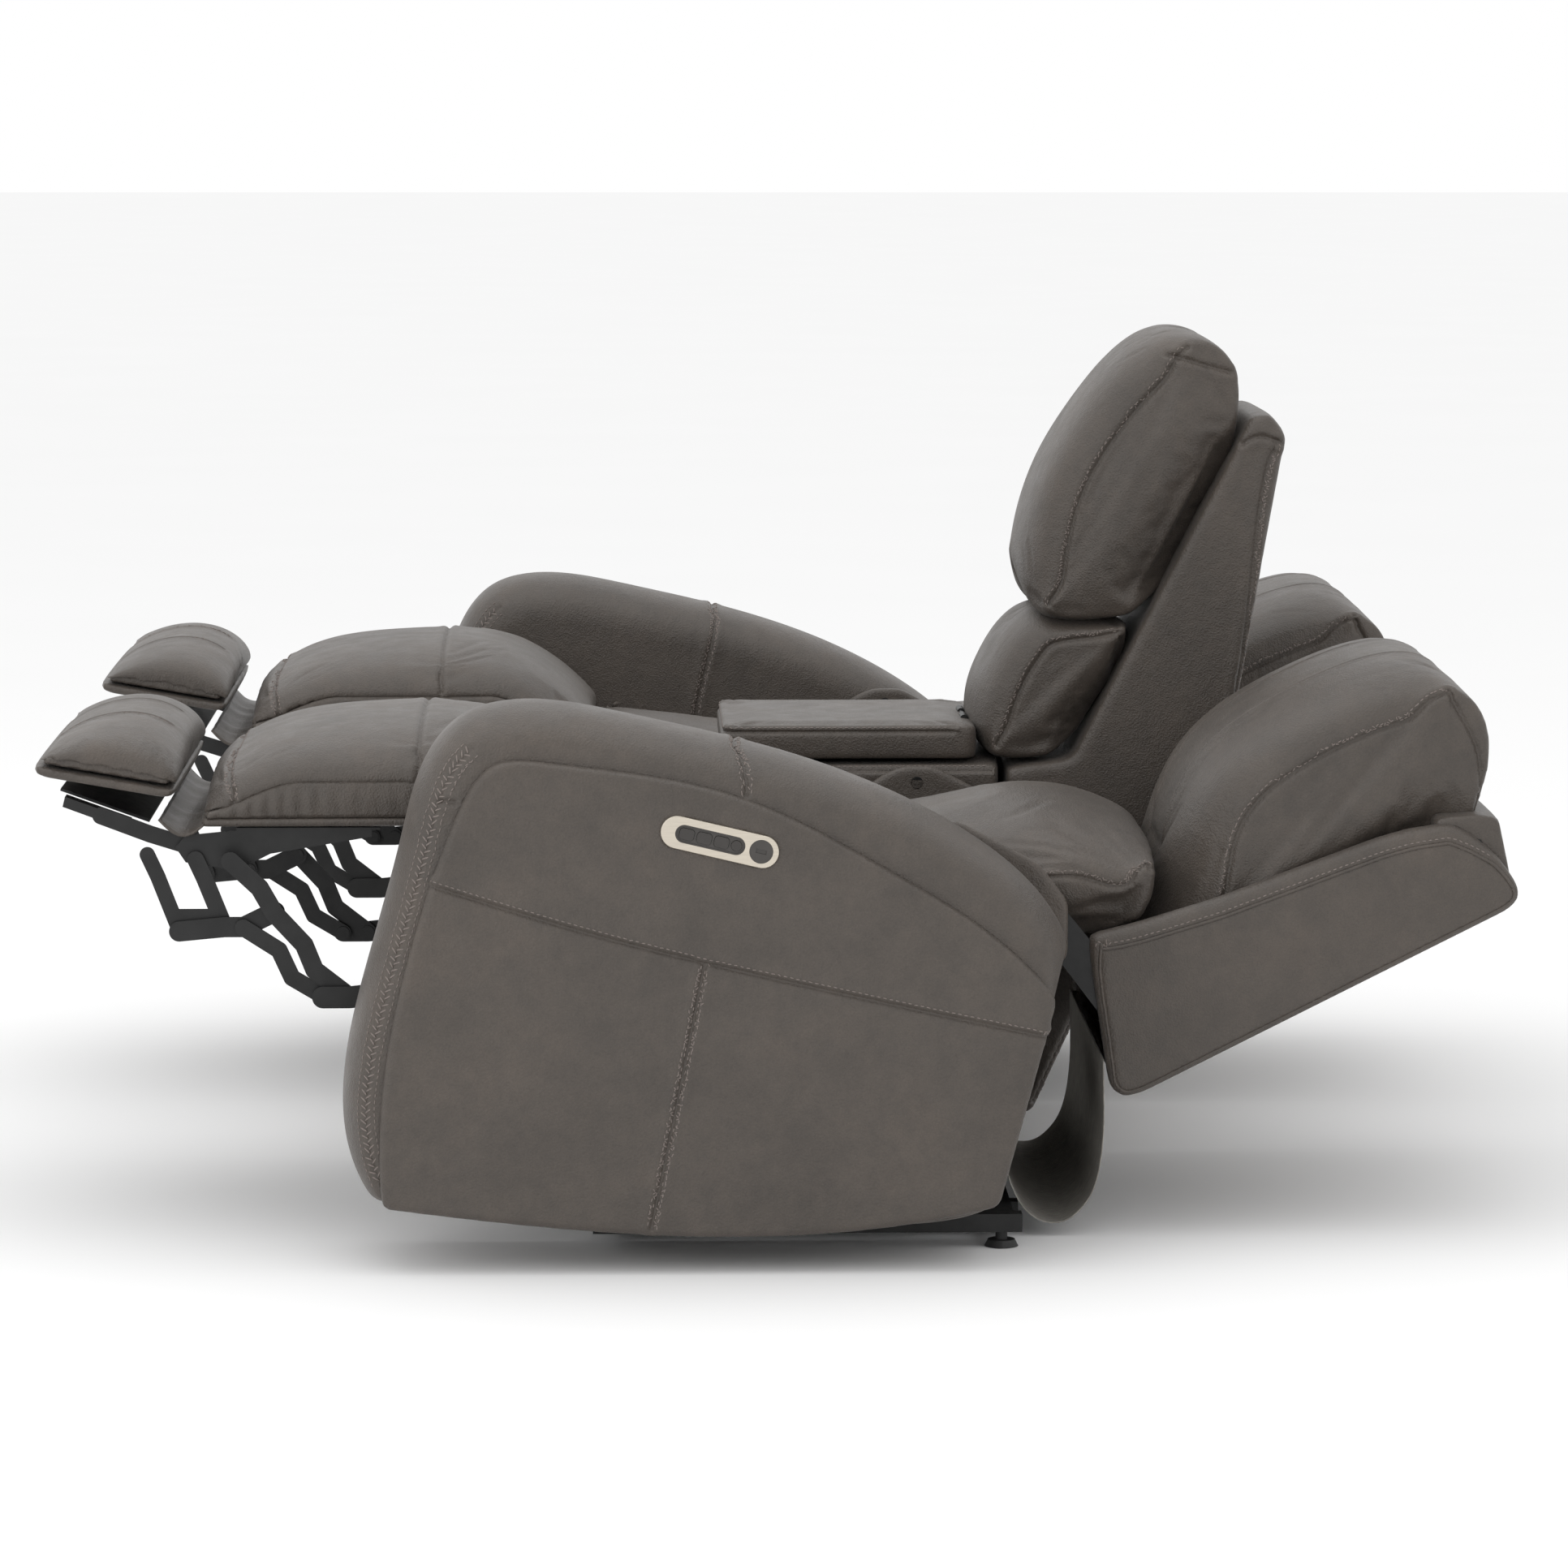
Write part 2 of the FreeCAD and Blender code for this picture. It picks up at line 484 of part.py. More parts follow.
# ---------------------------------------------------------------- reclining back
def back():
    """Ladder frame on two hinge arms, an upholstered shell with wings, and the back cushion."""
    x1 = PLATE_X - PITCH + STEEL / 2
    hinge_arm = slab([(176, 464), (176, 492), (206, 492), (300, 440), (400, 318), (520, 372), (528, 350),
                      (430, 262), (385, 262), (280, 400), (205, 460)], x1 - STEEL, x1)
    hinge_arm = fuse([hinge_arm, rod(BACK_PIVOT, x1 - STEEL, x1, 15)])
    hinge_arm = hinge_arm.cut(rod(BACK_PIVOT, x1 - 9, x1 + 9, PIN_R + PIN_PLAY))
    rail_x = x1 - STEEL
    side_rail = slab([(425, 236), (846, 448), (832, 474), (412, 262)], rail_x - 24, rail_x)
    rails = []
    for d in (0.03, 0.5, 0.93):
        y = 425 + (846 - 425) * d
        z = 236 + (448 - 236) * d
        rails.append(slab([(y, z), (y + 30, z + 15), (y + 17, z + 41), (y - 13, z + 26)],
                          2 * SEAT_MID - rail_x + 20, rail_x - 20))
    half = fuse([hinge_arm, side_rail])
    save_pair(fuse([half, mirror_in_seat(half)] + rails), "back_frame")

    outer = 774.0
    wing_out = [(366, 362), (370, 327), (393, 180), (408, 167), (430, 172), (866, 391), (879, 404),
                (876, 420), (854, 453), (825, 478), (796, 494), (750, 488), (710, 477), (518, 405),
                (423, 376)]
    wing = slab(wing_out, 742, outer)
    recess = slab([(350, 264), (400, 243), (440, 225), (855, 438), (836, 482), (540, 380), (400, 330),
                   (340, 420)], 736, x1 + 0.5)
    wing = wing.cut(recess)
    panel = slab([(409, 170), (430, 172), (866, 391), (862, 404), (424, 186), (404, 200), (398, 190)],
                 2 * SEAT_MID - 750, 750)
    panel = panel.cut(wing).cut(mirror_in_seat(wing))
    save_pair(Part.makeCompound([wing, mirror_in_seat(wing), panel]), "back_shell")

    arc_up = arc(BACK_PIVOT, SWEEP_R + 1, -50, -3)
    face = [arc_up[-1], (482, 506), (510, 555), (565, 604), (653, 652), (725, 678), (775, 680), (820, 652),
            (848, 606), (850, 555), (838, 492)]
    rear = [[(838, 492), (410, 276)], [(410, 276), arc_up[0]]]
    cushion = loop([arc_up, face] + rear, SEAT_IN + 20, SEAT_OUT - 20)
    save_pair(cushion, "back_cushion")


def skirts():
    """Slack rear skirt of each seat, hanging in a U between the base and the back."""
    outer = [(384, 212), (386, 120), (376, 60), (350, 24), (322, 18), (296, 36), (280, 62), (272, 84)]
    inner = [(269, 83), (277, 60), (294, 33), (322, 15), (352, 21), (379, 58), (389, 120), (387, 212)]
    sheet = loop([outer, [outer[-1], inner[0]], inner, [inner[-1], outer[0]]], 206, 764)
    save_twins(sheet, "rear_skirts")


def drive():
    """Motor, gearbox and screw rail of each seat, and the shared power supply with its cord inlet."""
    rail = block(SEAT_MID - 14, SEAT_MID + 14, -250, 240, 150, 178)
    gearbox = block(SEAT_MID - 35, SEAT_MID + 35, 150, 215, 128, 196)
    motor = Part.makeCylinder(30, 130, V(SEAT_MID + 30, 182, 162), V(1, 0, 0))
    hanger = block(SEAT_MID - 10, SEAT_MID + 10, 244, 258, GLIDE_H + RAIL_H, 178)
    head = block(SEAT_MID - 10, SEAT_MID + 10, 236, 258, 150, 178)
    save_twins(fuse([rail, gearbox, motor, hanger, head]), "actuators")
    z0 = GLIDE_H + RAIL_H
    box = block(-640, -520, 176, 262, z0, z0 + 45)
    inlet = block(-641, -632, 205, 229, z0 + 12, z0 + 32)
    save(box.cut(inlet), "power_supply")


base()
arm()
console()
seat()
mechanism()
leg_links()
leg_rest()
back()
skirts()
drive()
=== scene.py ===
import math

import bmesh
import bpy
import numpy as np
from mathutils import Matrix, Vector
from mathutils.bvhtree import BVHTree
from mathutils.kdtree import KDTree


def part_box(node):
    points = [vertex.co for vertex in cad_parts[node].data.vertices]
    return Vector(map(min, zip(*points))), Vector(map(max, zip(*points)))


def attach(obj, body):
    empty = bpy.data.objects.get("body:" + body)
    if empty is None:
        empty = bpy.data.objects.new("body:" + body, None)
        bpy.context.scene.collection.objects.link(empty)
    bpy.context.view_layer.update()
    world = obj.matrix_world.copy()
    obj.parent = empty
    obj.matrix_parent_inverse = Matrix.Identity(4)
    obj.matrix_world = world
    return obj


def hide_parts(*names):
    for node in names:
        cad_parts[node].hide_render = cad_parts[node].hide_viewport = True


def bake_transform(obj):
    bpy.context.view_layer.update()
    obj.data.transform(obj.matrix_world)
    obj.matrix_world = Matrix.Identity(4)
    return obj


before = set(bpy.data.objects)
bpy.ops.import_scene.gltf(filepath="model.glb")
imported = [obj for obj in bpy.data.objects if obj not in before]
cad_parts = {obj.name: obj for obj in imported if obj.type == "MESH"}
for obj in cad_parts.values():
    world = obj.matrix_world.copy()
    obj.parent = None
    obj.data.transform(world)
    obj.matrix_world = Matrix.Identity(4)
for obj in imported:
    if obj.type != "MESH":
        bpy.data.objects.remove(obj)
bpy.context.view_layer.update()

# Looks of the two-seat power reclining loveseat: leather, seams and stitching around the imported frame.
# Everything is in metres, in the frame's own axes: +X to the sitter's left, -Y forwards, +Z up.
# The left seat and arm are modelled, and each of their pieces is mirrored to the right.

VOXEL = 0.0055              # mesh size of the upholstery before the seams are cut in
STITCH_LENGTH = 0.0046
STITCH_PITCH = 0.0074
STITCH_RADIUS = 0.00075
SEAM_DEPTH = 0.0028
SEAM_WIDTH = 0.0028
ROW_OFFSET = 0.0058         # stitch row beside its seam
SEAM_STEP = 0.002           # distance between the points of a seam line


# ---------------------------------------------------------------- measuring the frame
def place(node, across=None, along=None, up=None):
    """Coordinates at given fractions of a node's box, one for each fraction that is given."""
    low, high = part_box(node)
    found = [low[i] + (high[i] - low[i]) * f for i, f in enumerate((across, along, up)) if f is not None]
    return found[0] if len(found) == 1 else found


def outline(node, x):
    """Closed (Y, Z) outline of a node's flat side at x, anticlockwise; the largest loop there."""
    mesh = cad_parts[node].data
    following = {}
    for face in mesh.polygons:
        corners = [mesh.vertices[i].co for i in face.vertices]
        if max(abs(c.x - x) for c in corners) > 1e-4:
            continue
        keys = [(round(c.y, 5), round(c.z, 5)) for c in corners]
        for a, b in zip(keys, keys[1:] + keys[:1]):
            if following.get(b) and a in following[b]:
                following[b].remove(a)
            else:
                following.setdefault(a, []).append(b)
    loops = []
    while any(following.values()):
        start = next(k for k, v in following.items() if v)
        loop = [start]
        while following.get(loop[-1]):
            loop.append(following[loop[-1]].pop())
            if loop[-1] == start:
                break
        loops.append(np.array(loop[:-1]))
    best = max(loops, key=lambda p: abs(area(p)))
    return best if area(best) > 0 else best[::-1]


def area(loop):
    y, z = loop[:, 0], loop[:, 1]
    return 0.5 * float(np.sum(y * np.roll(z, -1) - z * np.roll(y, -1)))


def spaced(points, step=SEAM_STEP, closed=False):
    """The same line with evenly spaced points."""
    p = np.asarray(points, float)
    if closed:
        p = np.vstack([p, p[:1]])
    run = np.r_[0, np.cumsum(np.linalg.norm(np.diff(p, axis=0), axis=1))]
    count = max(4, int(round(run[-1] / step)))
    t = np.linspace(0, run[-1], count + 1)
    line = np.column_stack([np.interp(t, run, p[:, k]) for k in range(p.shape[1])])
    return line[:-1] if closed else line


def averaged(values, reach, closed=True):
    """Gaussian average along a line, over reach samples."""
    v = np.asarray(values, float)
    n = int(3 * reach) + 1
    weights = np.exp(-0.5 * (np.arange(-n, n + 1) / reach) ** 2)
    weights /= weights.sum()
    padded = np.concatenate([v[-n:], v, v[:n]]) if closed else np.concatenate([[v[0]] * n, v, [v[-1]] * n])
    if v.ndim == 1:
        return np.convolve(padded, weights, "valid")
    return np.column_stack([np.convolve(padded[:, k], weights, "valid") for k in range(v.shape[1])])


def soft_loop(points, rounding, step=0.004):
    """Evenly spaced closed line with its corners rounded over about rounding metres."""
    return averaged(spaced(points, step, closed=True), rounding / step)


def curve(points, step=0.002):
    """Smooth open line through a few points: a Catmull-Rom spline."""
    p = np.asarray(points, float)
    p = np.vstack([2 * p[0] - p[1], p, 2 * p[-1] - p[-2]])
    line = []
    for i in range(1, len(p) - 2):
        a, b, c, d = p[i - 1], p[i], p[i + 1], p[i + 2]
        for t in np.linspace(0, 1, 24, endpoint=False):
            line.append(0.5 * (2 * b + (c - a) * t + (2 * a - 5 * b + 4 * c - d) * t * t
                               + (3 * b - a - 3 * c + d) * t ** 3))
    line.append(p[-2])
    return spaced(line, step)


def inward(loop):
    """Unit normals of an anticlockwise loop, pointing into it."""
    along = np.roll(loop, -1, 0) - np.roll(loop, 1, 0)
    along /= np.linalg.norm(along, axis=1)[:, None]
    return np.column_stack([-along[:, 1], along[:, 0]])


def drawn_in(loop, depth):
    """The loop moved inwards by depth: one value, or one for each point."""
    return loop + inward(loop) * np.reshape(depth, (-1, 1))


def rim_seams(rim, chosen, xs, sort_by, reach=5):
    """At each x, an open seam along the chosen part of a rim, ordered by one of its coordinates."""
    seams = []
    for x in xs:
        seam = np.column_stack([np.full(chosen.sum(), x), rim[chosen]])
        seams.append(averaged(spaced(seam[np.argsort(seam[:, sort_by])]), reach, closed=False))
    return seams


def smoothstep(value, low, high):
    t = np.clip((np.asarray(value, float) - low) / (high - low), 0, 1)
    return t * t * (3 - 2 * t)


# ---------------------------------------------------------------- meshes
def mesh_object(name, points, faces, material):
    mesh = bpy.data.meshes.new(name)
    mesh.from_pydata([tuple(p) for p in points], [], faces)
    mesh.update()
    mesh.polygons.foreach_set("use_smooth", [True] * len(mesh.polygons))
    mesh.materials.append(material)
    obj = bpy.data.objects.new(name, mesh)
    bpy.context.scene.collection.objects.link(obj)
    return obj


def loft(name, rings, material, closed=True, caps=True):
    """Skin over rings of equal length."""
    count = len(rings[0])
    faces = []
    for k in range(len(rings) - 1):
        for i in range(count if closed else count - 1):
            j = (i + 1) % count
            faces.append((k * count + i, k * count + j, (k + 1) * count + j, (k + 1) * count + i))
    if caps:
        faces.append(tuple(range(count))[::-1])
        faces.append(tuple(range((len(rings) - 1) * count, len(rings) * count)))
    return mesh_object(name, np.vstack(rings), faces, material)


def slab(name, loop, low, high, rim, power=2.5, axis=0, stations=17, low_rim=None):
    """Closed leather solid with the outline loop at mid-width, drawn in to a rim at each end."""
    rims = (rim if low_rim is None else low_rim, rim)
    rings = []
    for u in np.linspace(-1, 1, stations):
        v = math.copysign(1 - (1 - abs(u)) ** 2.2, u)
        pull = 1 - (1 - abs(v) ** power) ** (1 / power)
        flat = loop + (rims[0 if v < 0 else 1] - loop) * pull
        level = np.full(len(loop), (low + high) / 2 + (high - low) / 2 * v)
        rings.append(np.column_stack([level, flat]) if axis == 0 else np.column_stack([flat, level]))
    return loft(name, rings, LEATHER)


def points_of(obj):
    co = np.empty(len(obj.data.vertices) * 3)
    obj.data.vertices.foreach_get("co", co)
    return co.reshape(-1, 3)


def normals_of(obj):
    no = np.empty(len(obj.data.vertices) * 3)
    obj.data.vertex_normals.foreach_get("vector", no)
    return no.reshape(-1, 3)


def move_points(obj, co):
    obj.data.vertices.foreach_set("co", co.ravel())
    obj.data.update()


def settle_modifiers(obj):
    """Applies every modifier of obj to its mesh."""
    bpy.context.view_layer.update()
    evaluated = obj.evaluated_get(bpy.context.evaluated_depsgraph_get())
    mesh = bpy.data.meshes.new_from_object(evaluated)
    material = obj.data.materials[0]
    obj.modifiers.clear()
    obj.data = mesh
    if not mesh.materials:
        mesh.materials.append(material)
    mesh.polygons.foreach_set("use_smooth", [True] * len(mesh.polygons))
    return obj


def voxel(obj, size=VOXEL, rounds=8):
    """Even quads all over a closed solid, then smoothed."""
    remesh = obj.modifiers.new("remesh", "REMESH")
    remesh.mode = "VOXEL"
    remesh.voxel_size = size
    smooth = obj.modifiers.new("smooth", "SMOOTH")
    smooth.factor = 0.5
    smooth.iterations = rounds
    material = obj.data.materials[0]
    settle_modifiers(obj)
    obj.data.materials.clear()
    obj.data.materials.append(material)
    obj.data.polygons.foreach_set("material_index", [0] * len(obj.data.polygons))
    return obj


def cut_away(obj, cutter):
    boolean = obj.modifiers.new("cut", "BOOLEAN")
    boolean.object = cutter
    boolean.solver = "EXACT"
    settle_modifiers(obj)
    bpy.data.objects.remove(cutter)
    return obj


def distance_to(co, path, reach):
    """Distance from each point to a closely spaced path and the nearest path index, where under reach."""
    low, high = path.min(0) - reach, path.max(0) + reach
    near = np.where(((co > low) & (co < high)).all(1))[0]
    tree = KDTree(len(path))
    for i, p in enumerate(path):
        tree.insert(p, i)
    tree.balance()
    distance = np.full(len(co), 1.0)
    index = np.zeros(len(co), int)
    for i in near:
        _, index[i], distance[i] = tree.find(co[i])
    return distance, index


def refine(obj, paths, reach=0.009, levels=2):
    """Smaller faces along the paths, so that the seams have room."""
    path = np.vstack(paths)
    for _ in range(levels):
        distance, _ = distance_to(points_of(obj), path, 2 * reach)
        bm = bmesh.new()
        bm.from_mesh(obj.data)
        edges = [e for e in bm.edges if min(distance[e.verts[0].index], distance[e.verts[1].index]) < reach]
        bmesh.ops.subdivide_edges(bm, edges=edges, cuts=1, use_grid_fill=True)
        bm.to_mesh(obj.data)
        bm.free()
        reach *= 0.75
    obj.data.polygons.foreach_set("use_smooth", [True] * len(obj.data.polygons))
    return obj


def on_surface(obj, guide, soften=4):
    """Guide points dropped onto the nearest surface, with their normals."""
    polygons = [tuple(p.vertices) for p in obj.data.polygons]
    tree = BVHTree.FromPolygons([tuple(p) for p in points_of(obj)], polygons)
    found = [tree.find_nearest(Vector(p)) for p in guide]
    points = np.array([f[0] for f in found])
    normals = averaged(np.array([f[1] for f in found]), soften, closed=False)
    normals /= np.linalg.norm(normals, axis=1)[:, None]
    return points, normals


def press(obj, path, depth=SEAM_DEPTH, width=SEAM_WIDTH, raised=None):
    """A sewn line: the surface dips along the path and swells beside it, more on the raised side."""
    co, no = points_of(obj), normals_of(obj)
    distance, index = distance_to(co, path, 8 * width)
    dip = -depth * np.exp(-(distance / width) ** 2)
    swell = 0.45 * depth * np.exp(-((distance - 3.0 * width) / (1.8 * width)) ** 2)
    if raised is not None:
        side = np.einsum("ij,j->i", co - path[index], np.asarray(raised, float))
        swell *= np.where(side > 0, 1.9, 0.3)
    move_points(obj, co + no * (dip + swell)[:, None] * (distance < 8 * width)[:, None])


def crease(obj, start, end, depth, width, bow=0.0):
    """One wrinkle between two points on the surface, deepest in its middle."""
    start, end = np.asarray(start, float), np.asarray(end, float)
    t = np.linspace(0, 1, 40)[:, None]
    guide = start + (end - start) * t
    path, normals = on_surface(obj, guide)
    across = np.cross(normals, np.gradient(path, axis=0))
    across /= np.linalg.norm(across, axis=1)[:, None] + 1e-9
    path = path + across * (bow * np.sin(math.pi * t))
    co, no = points_of(obj), normals_of(obj)
    distance, index = distance_to(co, path, 5 * width)
    fade = np.sin(math.pi * index / (len(path) - 1)) ** 0.8
    shape = -np.exp(-(distance / width) ** 2) + 0.5 * np.exp(-((distance - 2 * width) / width) ** 2)
    move_points(obj, co + no * (depth * fade * shape * (distance < 5 * width))[:, None])


def inflate(obj, held, cap, pressure=4.0, frames=20):
    """Cloth under pressure: seams (points within held distance of the paths) stay, panels swell up to cap."""
    rest = points_of(obj)
    distance, _ = distance_to(rest, np.vstack(held), 0.02)
    pinned = [int(i) for i in np.where(distance < 0.0045)[0]]
    group = obj.vertex_groups.new(name="seams")
    group.add(pinned, 1.0, "REPLACE")
    cloth = obj.modifiers.new("cloth", "CLOTH")
    cloth.settings.quality = 4
    cloth.settings.mass = 0.3
    cloth.settings.tension_stiffness = 12
    cloth.settings.compression_stiffness = 12
    cloth.settings.shear_stiffness = 6
    cloth.settings.bending_stiffness = 0.6
    cloth.settings.use_pressure = True
    cloth.settings.uniform_pressure_force = pressure
    cloth.settings.vertex_group_mass = "seams"
    cloth.settings.effector_weights.gravity = 0
    cloth.point_cache.frame_end = frames
    for step in range(1, frames + 1):
        bpy.context.scene.frame_set(step)
    settle_modifiers(obj)
    obj.vertex_groups.clear()
    bpy.context.scene.frame_set(1)
    shift = points_of(obj) - rest
    length = np.linalg.norm(shift, axis=1)[:, None]
    limited = shift * np.minimum(1, cap / np.maximum(length, 1e-9))
    move_points(obj, rest + limited)
    return obj


def mirrored(obj):
    """The right-hand twin of a left piece, mesh and material."""
    twin = obj.copy()
    twin.data = obj.data.copy()
    twin.name = obj.name.replace("left", "right")
    co = points_of(twin)
    co[:, 0] *= -1
    move_points(twin, co)
    twin.data.flip_normals()
    bpy.context.scene.collection.objects.link(twin)
    return twin


def fit(obj, body, bend=None, covers=(), slot=None, fill=None):
    """Joins a piece to the frame, and if it is a left one, its right twin too.

    bend is (the other body, start, end) for a piece that lies across a joint; only whether it is given is
    read: such a piece has its transform baked in, is joined to no body and is not bent."""
    sides = [obj] + ([mirrored(obj)] if obj.name.startswith("left") else [])
    for piece in sides:
        def named(text):
            return text.replace("left", "right") if piece is not obj else text
        if bend:
            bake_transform(piece)
        else:
            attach(piece, named(body))
        if covers:
            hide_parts(*[named(node) for node in covers])
    return sides


# ---------------------------------------------------------------- thread and piping
def capsule_template(sides=6):
    """Unit stitch along X: half length 1, radius 1, as points and faces."""
    stations = [(-1.0, 0.0), (-0.9, 0.55), (-0.55, 0.95), (0.55, 0.95), (0.9, 0.55), (1.0, 0.0)]
    points, faces = [], []
    for x, r in stations[1:-1]:
        for i in range(sides):
            a = 2 * math.pi * i / sides
            points.append((x, r * math.cos(a), r * math.sin(a)))
    rings = len(stations) - 2
    for k in range(rings - 1):
        for i in range(sides):
            j = (i + 1) % sides
            faces.append((k * sides + i, k * sides + j, (k + 1) * sides + j, (k + 1) * sides + i))
    tip_a, tip_b = len(points), len(points) + 1
    points += [(stations[0][0], 0, 0), (stations[-1][0], 0, 0)]
    for i in range(sides):
        j = (i + 1) % sides
        faces.append((tip_a, j, i))
        faces.append((tip_b, (rings - 1) * sides + i, (rings - 1) * sides + j))
    return np.array(points), faces


CAPSULE_POINTS, CAPSULE_FACES = capsule_template()


class Thread:
    """All the stitching of one piece, gathered into one mesh."""

    def __init__(self, obj):
        self.obj = obj
        self.points = []
        self.faces = []

    def stitch(self, centre, along, normal, length, radius):
        along = along / (np.linalg.norm(along) + 1e-12)
        across = np.cross(normal, along)
        across /= np.linalg.norm(across) + 1e-12
        up = np.cross(along, across)
        base = len(self.points) * len(CAPSULE_POINTS)
        local = CAPSULE_POINTS * (length / 2, radius, radius * 0.8)
        self.points.append(centre + local @ np.array([along, across, up]))
        self.faces += [tuple(base + i for i in face) for face in CAPSULE_FACES]

    def row(self, guide, offset=0.0, length=STITCH_LENGTH, pitch=STITCH_PITCH, radius=STITCH_RADIUS):
        """Stitches one after another along a guide, offset sideways on the surface."""
        path, normals = on_surface(self.obj, guide)
        across = np.cross(normals, np.gradient(path, axis=0))
        across /= np.linalg.norm(across, axis=1)[:, None] + 1e-12
        path, normals = on_surface(self.obj, path + across * offset)
        run = np.r_[0, np.cumsum(np.linalg.norm(np.diff(path, axis=0), axis=1))]
        for at in np.arange(pitch / 2, run[-1] - pitch / 2, pitch):
            here, ahead = (np.array([np.interp(s, run, path[:, k]) for k in range(3)])
                           for s in (at, at + 0.001))
            normal = np.array([np.interp(at, run, normals[:, k]) for k in range(3)])
            self.stitch(here + normal * radius * 0.25, ahead - here, normal, length, radius)

    def zigzag(self, guide, reach=0.0065, pitch=0.0085):
        """Baseball stitch: slanting threads across the seam, from either side to its middle."""
        path, normals = on_surface(self.obj, guide)
        tangents = np.gradient(path, axis=0)
        run = np.r_[0, np.cumsum(np.linalg.norm(np.diff(path, axis=0), axis=1))]
        for count, at in enumerate(np.arange(pitch / 2, run[-1] - pitch / 2, pitch / 2)):
            here, along, normal = (np.array([np.interp(at, run, v[:, k]) for k in range(3)])
                                   for v in (path, tangents, normals))
            along /= np.linalg.norm(along)
            across = np.cross(normal, along) * (1 if count % 2 else -1)
            slant = across * reach + along * pitch * 0.55
            self.stitch(here + across * reach * 0.5 + normal * 0.0007, slant, normal,
                        np.linalg.norm(slant) * 1.15, 0.0010)

    def made(self):
        return mesh_object(self.obj.name + "_thread", np.vstack(self.points), self.faces, MATERIALS["thread"])


def piping(name, path, normals, radius, material, closed=False, sides=8, sink=0.35):
    """Covered cord sewn into a seam, half sunk in the surface."""
    path = path - normals * radius * sink
    tangents = np.gradient(path, axis=0)
    if closed:
        tangents = (np.roll(path, -1, 0) - np.roll(path, 1, 0)) / 2
    tangents /= np.linalg.norm(tangents, axis=1)[:, None]
    across = np.cross(tangents, normals)
    across /= np.linalg.norm(across, axis=1)[:, None]
    up = np.cross(across, tangents)
    angles = 2 * math.pi * np.arange(sides) / sides
    rings = [p + radius * (np.outer(np.cos(angles), a) + np.outer(np.sin(angles), u))
             for p, a, u in zip(path, across, up)]
    if closed:
        rings.append(rings[0])
    return loft(name, rings, material, caps=not closed)


def sew(obj, seams, fit_as):
    """Cuts seams into a piece and adds their thread: each seam is (guide, kind, raised direction)."""
    paths = [on_surface(obj, guide)[0] for guide, _, _ in seams]
    refine(obj, paths)
    for path, (_, kind, raised) in zip(paths, seams):
        share = {"line": 0.6, "baseball": 0.45}.get(kind, 1.0)
        press(obj, on_surface(obj, path)[0], SEAM_DEPTH * share, raised=raised)
    thread = Thread(obj)
    for path, (_, kind, _) in zip(paths, seams):
        if kind == "line":
            thread.row(path)
        elif kind == "double":
            thread.row(path, ROW_OFFSET)
            thread.row(path, -ROW_OFFSET)
        elif kind == "baseball":
            thread.zigzag(path)
            thread.row(path, 2 * ROW_OFFSET)
            thread.row(path, -2 * ROW_OFFSET)
        elif kind in ("over", "under"):
            thread.row(path, ROW_OFFSET if kind == "over" else -ROW_OFFSET)
    if thread.points:
        fit(thread.made(), **fit_as)
    return obj


# ---------------------------------------------------------------- materials
def new_material(name, colour, roughness, metallic=0.0, specular=0.5):
    material = bpy.data.materials.new(name)
    material.use_nodes = True
    tree = material.node_tree
    shader = tree.nodes["Principled BSDF"]
    shader.inputs["Base Color"].default_value = (*colour, 1)
    shader.inputs["Roughness"].default_value = roughness
    shader.inputs["Metallic"].default_value = metallic
    shader.inputs["Specular IOR Level"].default_value = specular
    return material, tree, shader


def noise(tree, scale, detail=2.0, roughness=0.5, stretch=None):
    """Noise in the object's own coordinates, in features per metre; stretch scales each axis."""
    coordinates = tree.nodes.new("ShaderNodeTexCoord").outputs["Object"]
    if stretch:
        mapping = tree.nodes.new("ShaderNodeMapping")
        mapping.inputs["Scale"].default_value = stretch
        tree.links.new(coordinates, mapping.inputs["Vector"])
        coordinates = mapping.outputs["Vector"]
    node = tree.nodes.new("ShaderNodeTexNoise")
    node.inputs["Scale"].default_value = scale
    node.inputs["Detail"].default_value = detail
    node.inputs["Roughness"].default_value = roughness
    tree.links.new(coordinates, node.inputs["Vector"])
    return node.outputs["Fac"]


def ramp(tree, factor, stops):
    """Colour ramp with stops of (position, colour)."""
    node = tree.nodes.new("ShaderNodeValToRGB")
    elements = node.color_ramp.elements
    while len(elements) < len(stops):
        elements.new(0.5)
    for element, (position, colour) in zip(elements, stops):
        element.position = position
        element.color = (*colour, 1)
    tree.links.new(factor, node.inputs["Fac"])
    return node.outputs["Color"]


def blend_colours(tree, a, b, factor, mode="MIX"):
    node = tree.nodes.new("ShaderNodeMix")
    node.data_type = "RGBA"
    node.blend_type = mode
    for socket, value in ((node.inputs[0], factor), (node.inputs[6], a), (node.inputs[7], b)):
        if isinstance(value, bpy.types.NodeSocket):
            tree.links.new(value, socket)
        else:
            socket.default_value = value
    return node.outputs[2]


def levels(tree, factor, low, high):
    """A 0 to 1 value mapped to low to high."""
    node = tree.nodes.new("ShaderNodeMapRange")
    node.inputs["To Min"].default_value = low
    node.inputs["To Max"].default_value = high
    tree.links.new(factor, node.inputs["Value"])
    return node.outputs["Result"]


def bump(tree, height, depth, strength=1.0, under=None):
    node = tree.nodes.new("ShaderNodeBump")
    node.inputs["Distance"].default_value = depth
    node.inputs["Strength"].default_value = strength
    tree.links.new(height, node.inputs["Height"])
    if under:
        tree.links.new(under, node.inputs["Normal"])
    return node.outputs["Normal"]


